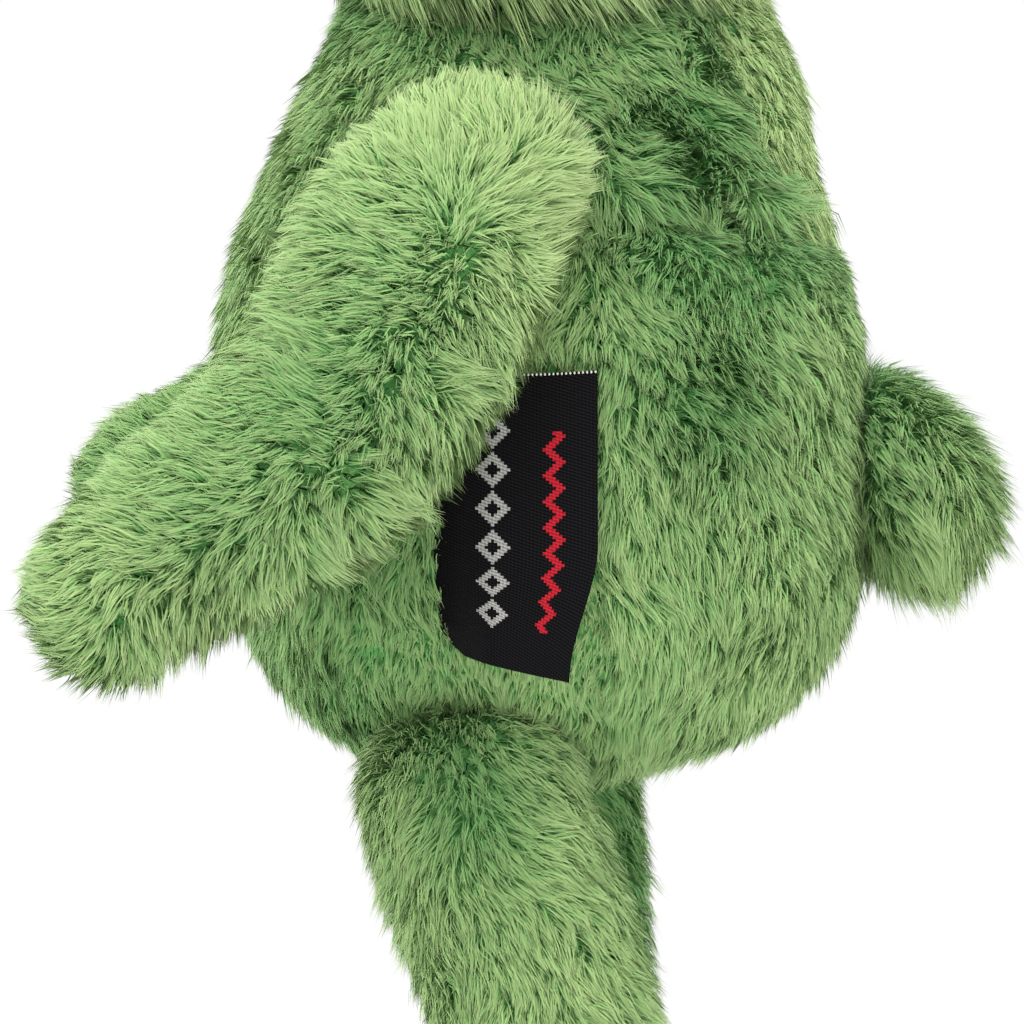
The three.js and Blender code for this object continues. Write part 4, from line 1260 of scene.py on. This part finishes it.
# %% Label edge thread
edge_stitches, stitch_half_size = 40, (0.3, 0.1, 0.13)
edge_thread = finish("label_edge_thread", 0.6, 0.3, colour="cfcfc8")[0]
bm = bmesh.new()
for i in range(edge_stitches):
    spot = label_point((i + 0.5) / edge_stitches, 0.004) + Vector((0.05, 0, 0))
    stitch = bmesh.ops.create_icosphere(bm, subdivisions=1, radius=1)["verts"]
    bmesh.ops.scale(bm, vec=stitch_half_size, verts=stitch)
    bmesh.ops.translate(bm, vec=spot, verts=stitch)
label_edge = piece("label_top_thread", bm, Matrix(), "label", [], edge_thread, 60)

# %% [markdown]
# ## Hanging tape
# A ribbed tape goes round the bar of the swivel eye, and both its tails are sewn into the crown.

# %% Hanging tape
bench = Matrix.Translation((0, -hang.y, 0))
crown, bar_height, tape_width, tape_outside, tape_thickness = 109, 115, 8, 2.6, 0.8


def points_in(grown):
    return [v for v in grown if isinstance(v, bmesh.types.BMVert)]


tails = [(tape_outside + 0.3, 103), (tape_outside - 0.3, 108), (tape_outside, 112)]
path = [(-y, z) for y, z in tails]
for i in range(21):
    a = math.pi * i / 20
    path.append((-tape_outside * math.cos(a), bar_height + tape_outside * math.sin(a)))
path += reversed(tails)
bm = bmesh.new()
line = [bm.verts.new((-tape_width / 2, y, z)) for y, z in path]
edges = [bm.edges.new(pair) for pair in zip(line, line[1:])]
for _ in range(tape_width):
    grown = bmesh.ops.extrude_edge_only(bm, edges=edges)["geom"]
    edges = [e for e in grown if isinstance(e, bmesh.types.BMEdge) and e.is_boundary and
             all(v in grown for v in e.verts)]
    bmesh.ops.translate(bm, vec=(1, 0, 0), verts=points_in(grown))
bm.normal_update()
inwards = [f for f in bm.faces if f.normal.dot(f.calc_center_median() - Vector((0, 0, crown))) < 0]
bmesh.ops.reverse_faces(bm, faces=inwards)
bmesh.ops.solidify(bm, geom=bm.faces, thickness=tape_thickness)
tape_weave = patterned("tape_weave", "39533a", (0.75, 0.2), [(0.0, "24372a"), (1.0, "47664a")], "TexWave",
                       {"Scale": 620}, (0.7, 0.0002), bands_direction="Z")
piece("tape_loop", bm, bench, "head", ["hanging_tape"], tape_weave, 60)

# %% [markdown]
# ## Hardware
# The swivel eye, the snap clasp and its gate are die-cast and plated, so all their edges are rounded:
# outline, extrude, bevel. The split ring and the gate's spring are wound wire, which one spin with a
# small push along its axis makes in a single step.

# %% Hardware tools
def metal(name, dark, light, roughness):
    return patterned(name, "808080", (roughness, 0.5, 1.0), [(0.3, dark), (0.7, light)], "TexNoise",
                     {"Scale": 350, "Detail": 3})


def bevelled(bm, offset, segments=3, angle=40):
    bmesh.ops.recalc_face_normals(bm, faces=bm.faces)
    sharp = [e for e in bm.edges if len(e.link_faces) == 2 and e.calc_face_angle() > math.radians(angle)]
    bmesh.ops.bevel(bm, geom=sharp, offset=offset, offset_type="OFFSET", segments=segments, profile=0.5,
                    affect="EDGES", clamp_overlap=True, material=-1)
    return bm


def cast_plate(outline, depth, ease, segments=3, middle=0.0):
    """A plate with eased edges from an outline of (x, z) points, its thickness along Y about a middle."""
    bm = bmesh.new()
    face = bm.faces.new([bm.verts.new((x, middle - depth / 2, z)) for x, z in outline])
    grown = bmesh.ops.extrude_face_region(bm, geom=[face])["geom"]
    bmesh.ops.translate(bm, vec=(0, depth, 0), verts=points_in(grown))
    return bevelled(bm, ease, segments)


def arc(cx, cz, radius, first, last, count):
    angles = [math.radians(first + (last - first) * i / count) for i in range(count + 1)]
    return [(cx + radius * math.cos(a), cz + radius * math.sin(a)) for a in angles]


def rounded(x0, z0, x1, z1, corner, count=6):
    """A rectangle's outline with round corners, from its lower right one."""
    points = []
    for k, (x, z) in enumerate(((x1 - corner, z0 + corner), (x1 - corner, z1 - corner),
                                (x0 + corner, z1 - corner), (x0 + corner, z0 + corner))):
        points += arc(x, z, corner, 90 * k - 90, 90 * k, count)
    return points


def joined(*parts):
    """Several closed forms as one."""
    whole = bmesh.new()
    for part in parts:
        mesh = bpy.data.meshes.new("part")
        part.to_mesh(mesh)
        part.free()
        whole.from_mesh(mesh)
        bpy.data.meshes.remove(mesh)
    return whole


def rod(radius, start, end, rim=0.15):
    """A round pin between two points, with its rims eased."""
    bm = bmesh.new()
    start, end = Vector(start), Vector(end)
    place = Matrix.Translation((start + end) / 2) @ turned_to(end - start)
    bmesh.ops.create_cone(bm, cap_ends=True, segments=32, radius1=radius, radius2=radius,
                          depth=(end - start).length, matrix=place)
    return bevelled(bm, rim, 2)


plated = metal("plated_casting", "a3a29d", "b4b3ae", 0.24)
steel = metal("spring_steel", "9fa1a3", "b1b3b5", 0.18)
print("finishes:", plated.name, steel.name)

# %% Swivel eye
frame_half, frame_foot, frame_top, frame_wall = 6.8, 114, 123.5, 2
inner_half, inner_foot, inner_top = frame_half - frame_wall, frame_foot + frame_wall, frame_top - frame_wall
eye_outline = rounded(-frame_half, frame_foot, frame_half, frame_top, 2)
eye_opening = rounded(-inner_half, inner_foot, inner_half, inner_top, 0.9)
plate = bmesh.new()
loops = []
for outline in (eye_outline, eye_opening):
    ring = [plate.verts.new((x, -frame_wall / 2, z)) for x, z in outline]
    loops += [plate.edges.new((ring[i], ring[(i + 1) % len(ring)])) for i in range(len(ring))]
plate_faces = bmesh.ops.bridge_loops(plate, edges=loops)["faces"]
grown = bmesh.ops.extrude_face_region(plate, geom=plate_faces)["geom"]
bmesh.ops.translate(plate, vec=(0, frame_wall, 0), verts=points_in(grown))
bevelled(plate, 0.55, 4)
stem = rod(1.2, (0, 0, 122.5), (0, 0, 127))
stem_head = rod(2.2, (0, 0, 126.5), (0, 0, 127.7), rim=0.45)
swivel_eye = joined(plate, stem, stem_head)
piece("swivel_eye_cast", swivel_eye, bench, "swivel", ["swivel_eye"], plated)

# %% Clasp
clasp_base, clasp_half = 123.8, 6
hook_height, hook_inside, hook_depth = clasp_base + 24, 3.6, 5.4
base_top, cheek_foot, cheek_top = clasp_base + 2.4, clasp_base + 1.4, clasp_base + 4.6
hook_outline = [(-clasp_half, clasp_base), (clasp_half, clasp_base), (clasp_half, base_top)]
hook_outline += [(-hook_inside, base_top)] + arc(0, hook_height, hook_inside, 180, -15, 30)
hook_outline += arc(0, hook_height, clasp_half, -15, 180, 36)
hook = cast_plate(hook_outline, hook_depth, ease=0.7, segments=4)
cheek_outline = [(2.6, cheek_foot), (clasp_half, cheek_foot)]
cheek_outline += arc(4.4, cheek_top, 1.6, 0, 90, 8) + arc(4.2, cheek_top, 1.6, 90, 180, 8)
cheeks = [cast_plate(cheek_outline, 0.9, ease=0.22, segments=2, middle=side) for side in (-2.25, 2.25)]
piece("clasp_cast", joined(hook, *cheeks), bench, "clasp", ["clasp_body"], plated)

# %% Gate
pin_across, pin_height = 5, clasp_base + 4
gate_inside, gate_depth, gate_foot, gate_top = 4, 3, clasp_base + 6.2, clasp_base + 22.15
thumb_foot, thumb_top, thumb_reach = clasp_base + 9.3, clasp_base + 12.4, 7.2
tongue_top, tongue_middle, tongue_depth = clasp_base + 7.2, -0.9, 1.2


def pin_rod(radius, first, last):
    """A round rod along the gate's hinge line."""
    return rod(radius, (pin_across, first, pin_height), (pin_across, last, pin_height))


gate_bar = cast_plate(rounded(gate_inside, gate_foot, clasp_half, gate_top, 0.5, 4), gate_depth, ease=0.4)
thumb = cast_plate(rounded(pin_across, thumb_foot, thumb_reach, thumb_top, 0.7, 4), gate_depth, ease=0.4)
tongue_outline = [(gate_inside, pin_height), (clasp_half, pin_height)]
tongue_outline += [(clasp_half, tongue_top), (gate_inside, tongue_top)]
tongue = cast_plate(tongue_outline, tongue_depth, ease=0.15, segments=2, middle=tongue_middle)
gate = joined(gate_bar, thumb, tongue, pin_rod(1.3, -1.5, -0.3))
piece("gate_cast", gate, bench, "gate", ["clasp_gate"], plated)
piece("gate_pin_steel", pin_rod(0.7, -2.7, 2.7), bench, "clasp", ["gate_pin"], steel)


# %% Wound wire
def wound(centre, radius, wire, pitch, turns, axis, start, turn_way, per_turn):
    """A wire wound about an axis through a centre, from a start direction."""
    bm = bmesh.new()
    axis, start = Vector(axis), Vector(start)
    across = Matrix((start, axis, start.cross(axis))).transposed().to_4x4()
    first = Matrix.Translation(Vector(centre) + start * radius - axis * (turns * pitch / 2))
    ring = bmesh.ops.create_circle(bm, segments=14, radius=wire / 2, matrix=first @ across)["verts"]
    count = int(per_turn * turns)
    bmesh.ops.spin(bm, geom=ring + list(bm.edges), cent=centre, axis=axis * turn_way,
                   dvec=axis * (turns * pitch / count), angle=2 * math.pi * turns, steps=count)
    bmesh.ops.holes_fill(bm, edges=bm.edges, sides=0)
    return bm


spring = wound((pin_across, 0.8125, pin_height), radius=1.35, wire=0.4, pitch=0.85, turns=1.5,
               axis=(0, 1, 0), start=(1, 0, 0), turn_way=-1, per_turn=40)
piece("gate_spring_wire", spring, bench, "clasp", ["gate_spring"], steel)
ring = wound((0, 0, 161.7), radius=12, wire=1.5, pitch=2, turns=2,
             axis=(1, 0, 0), start=(0, 0, 1), turn_way=1, per_turn=96)
piece("key_ring_wire", ring, bench, "key_ring", ["key_ring"], steel)
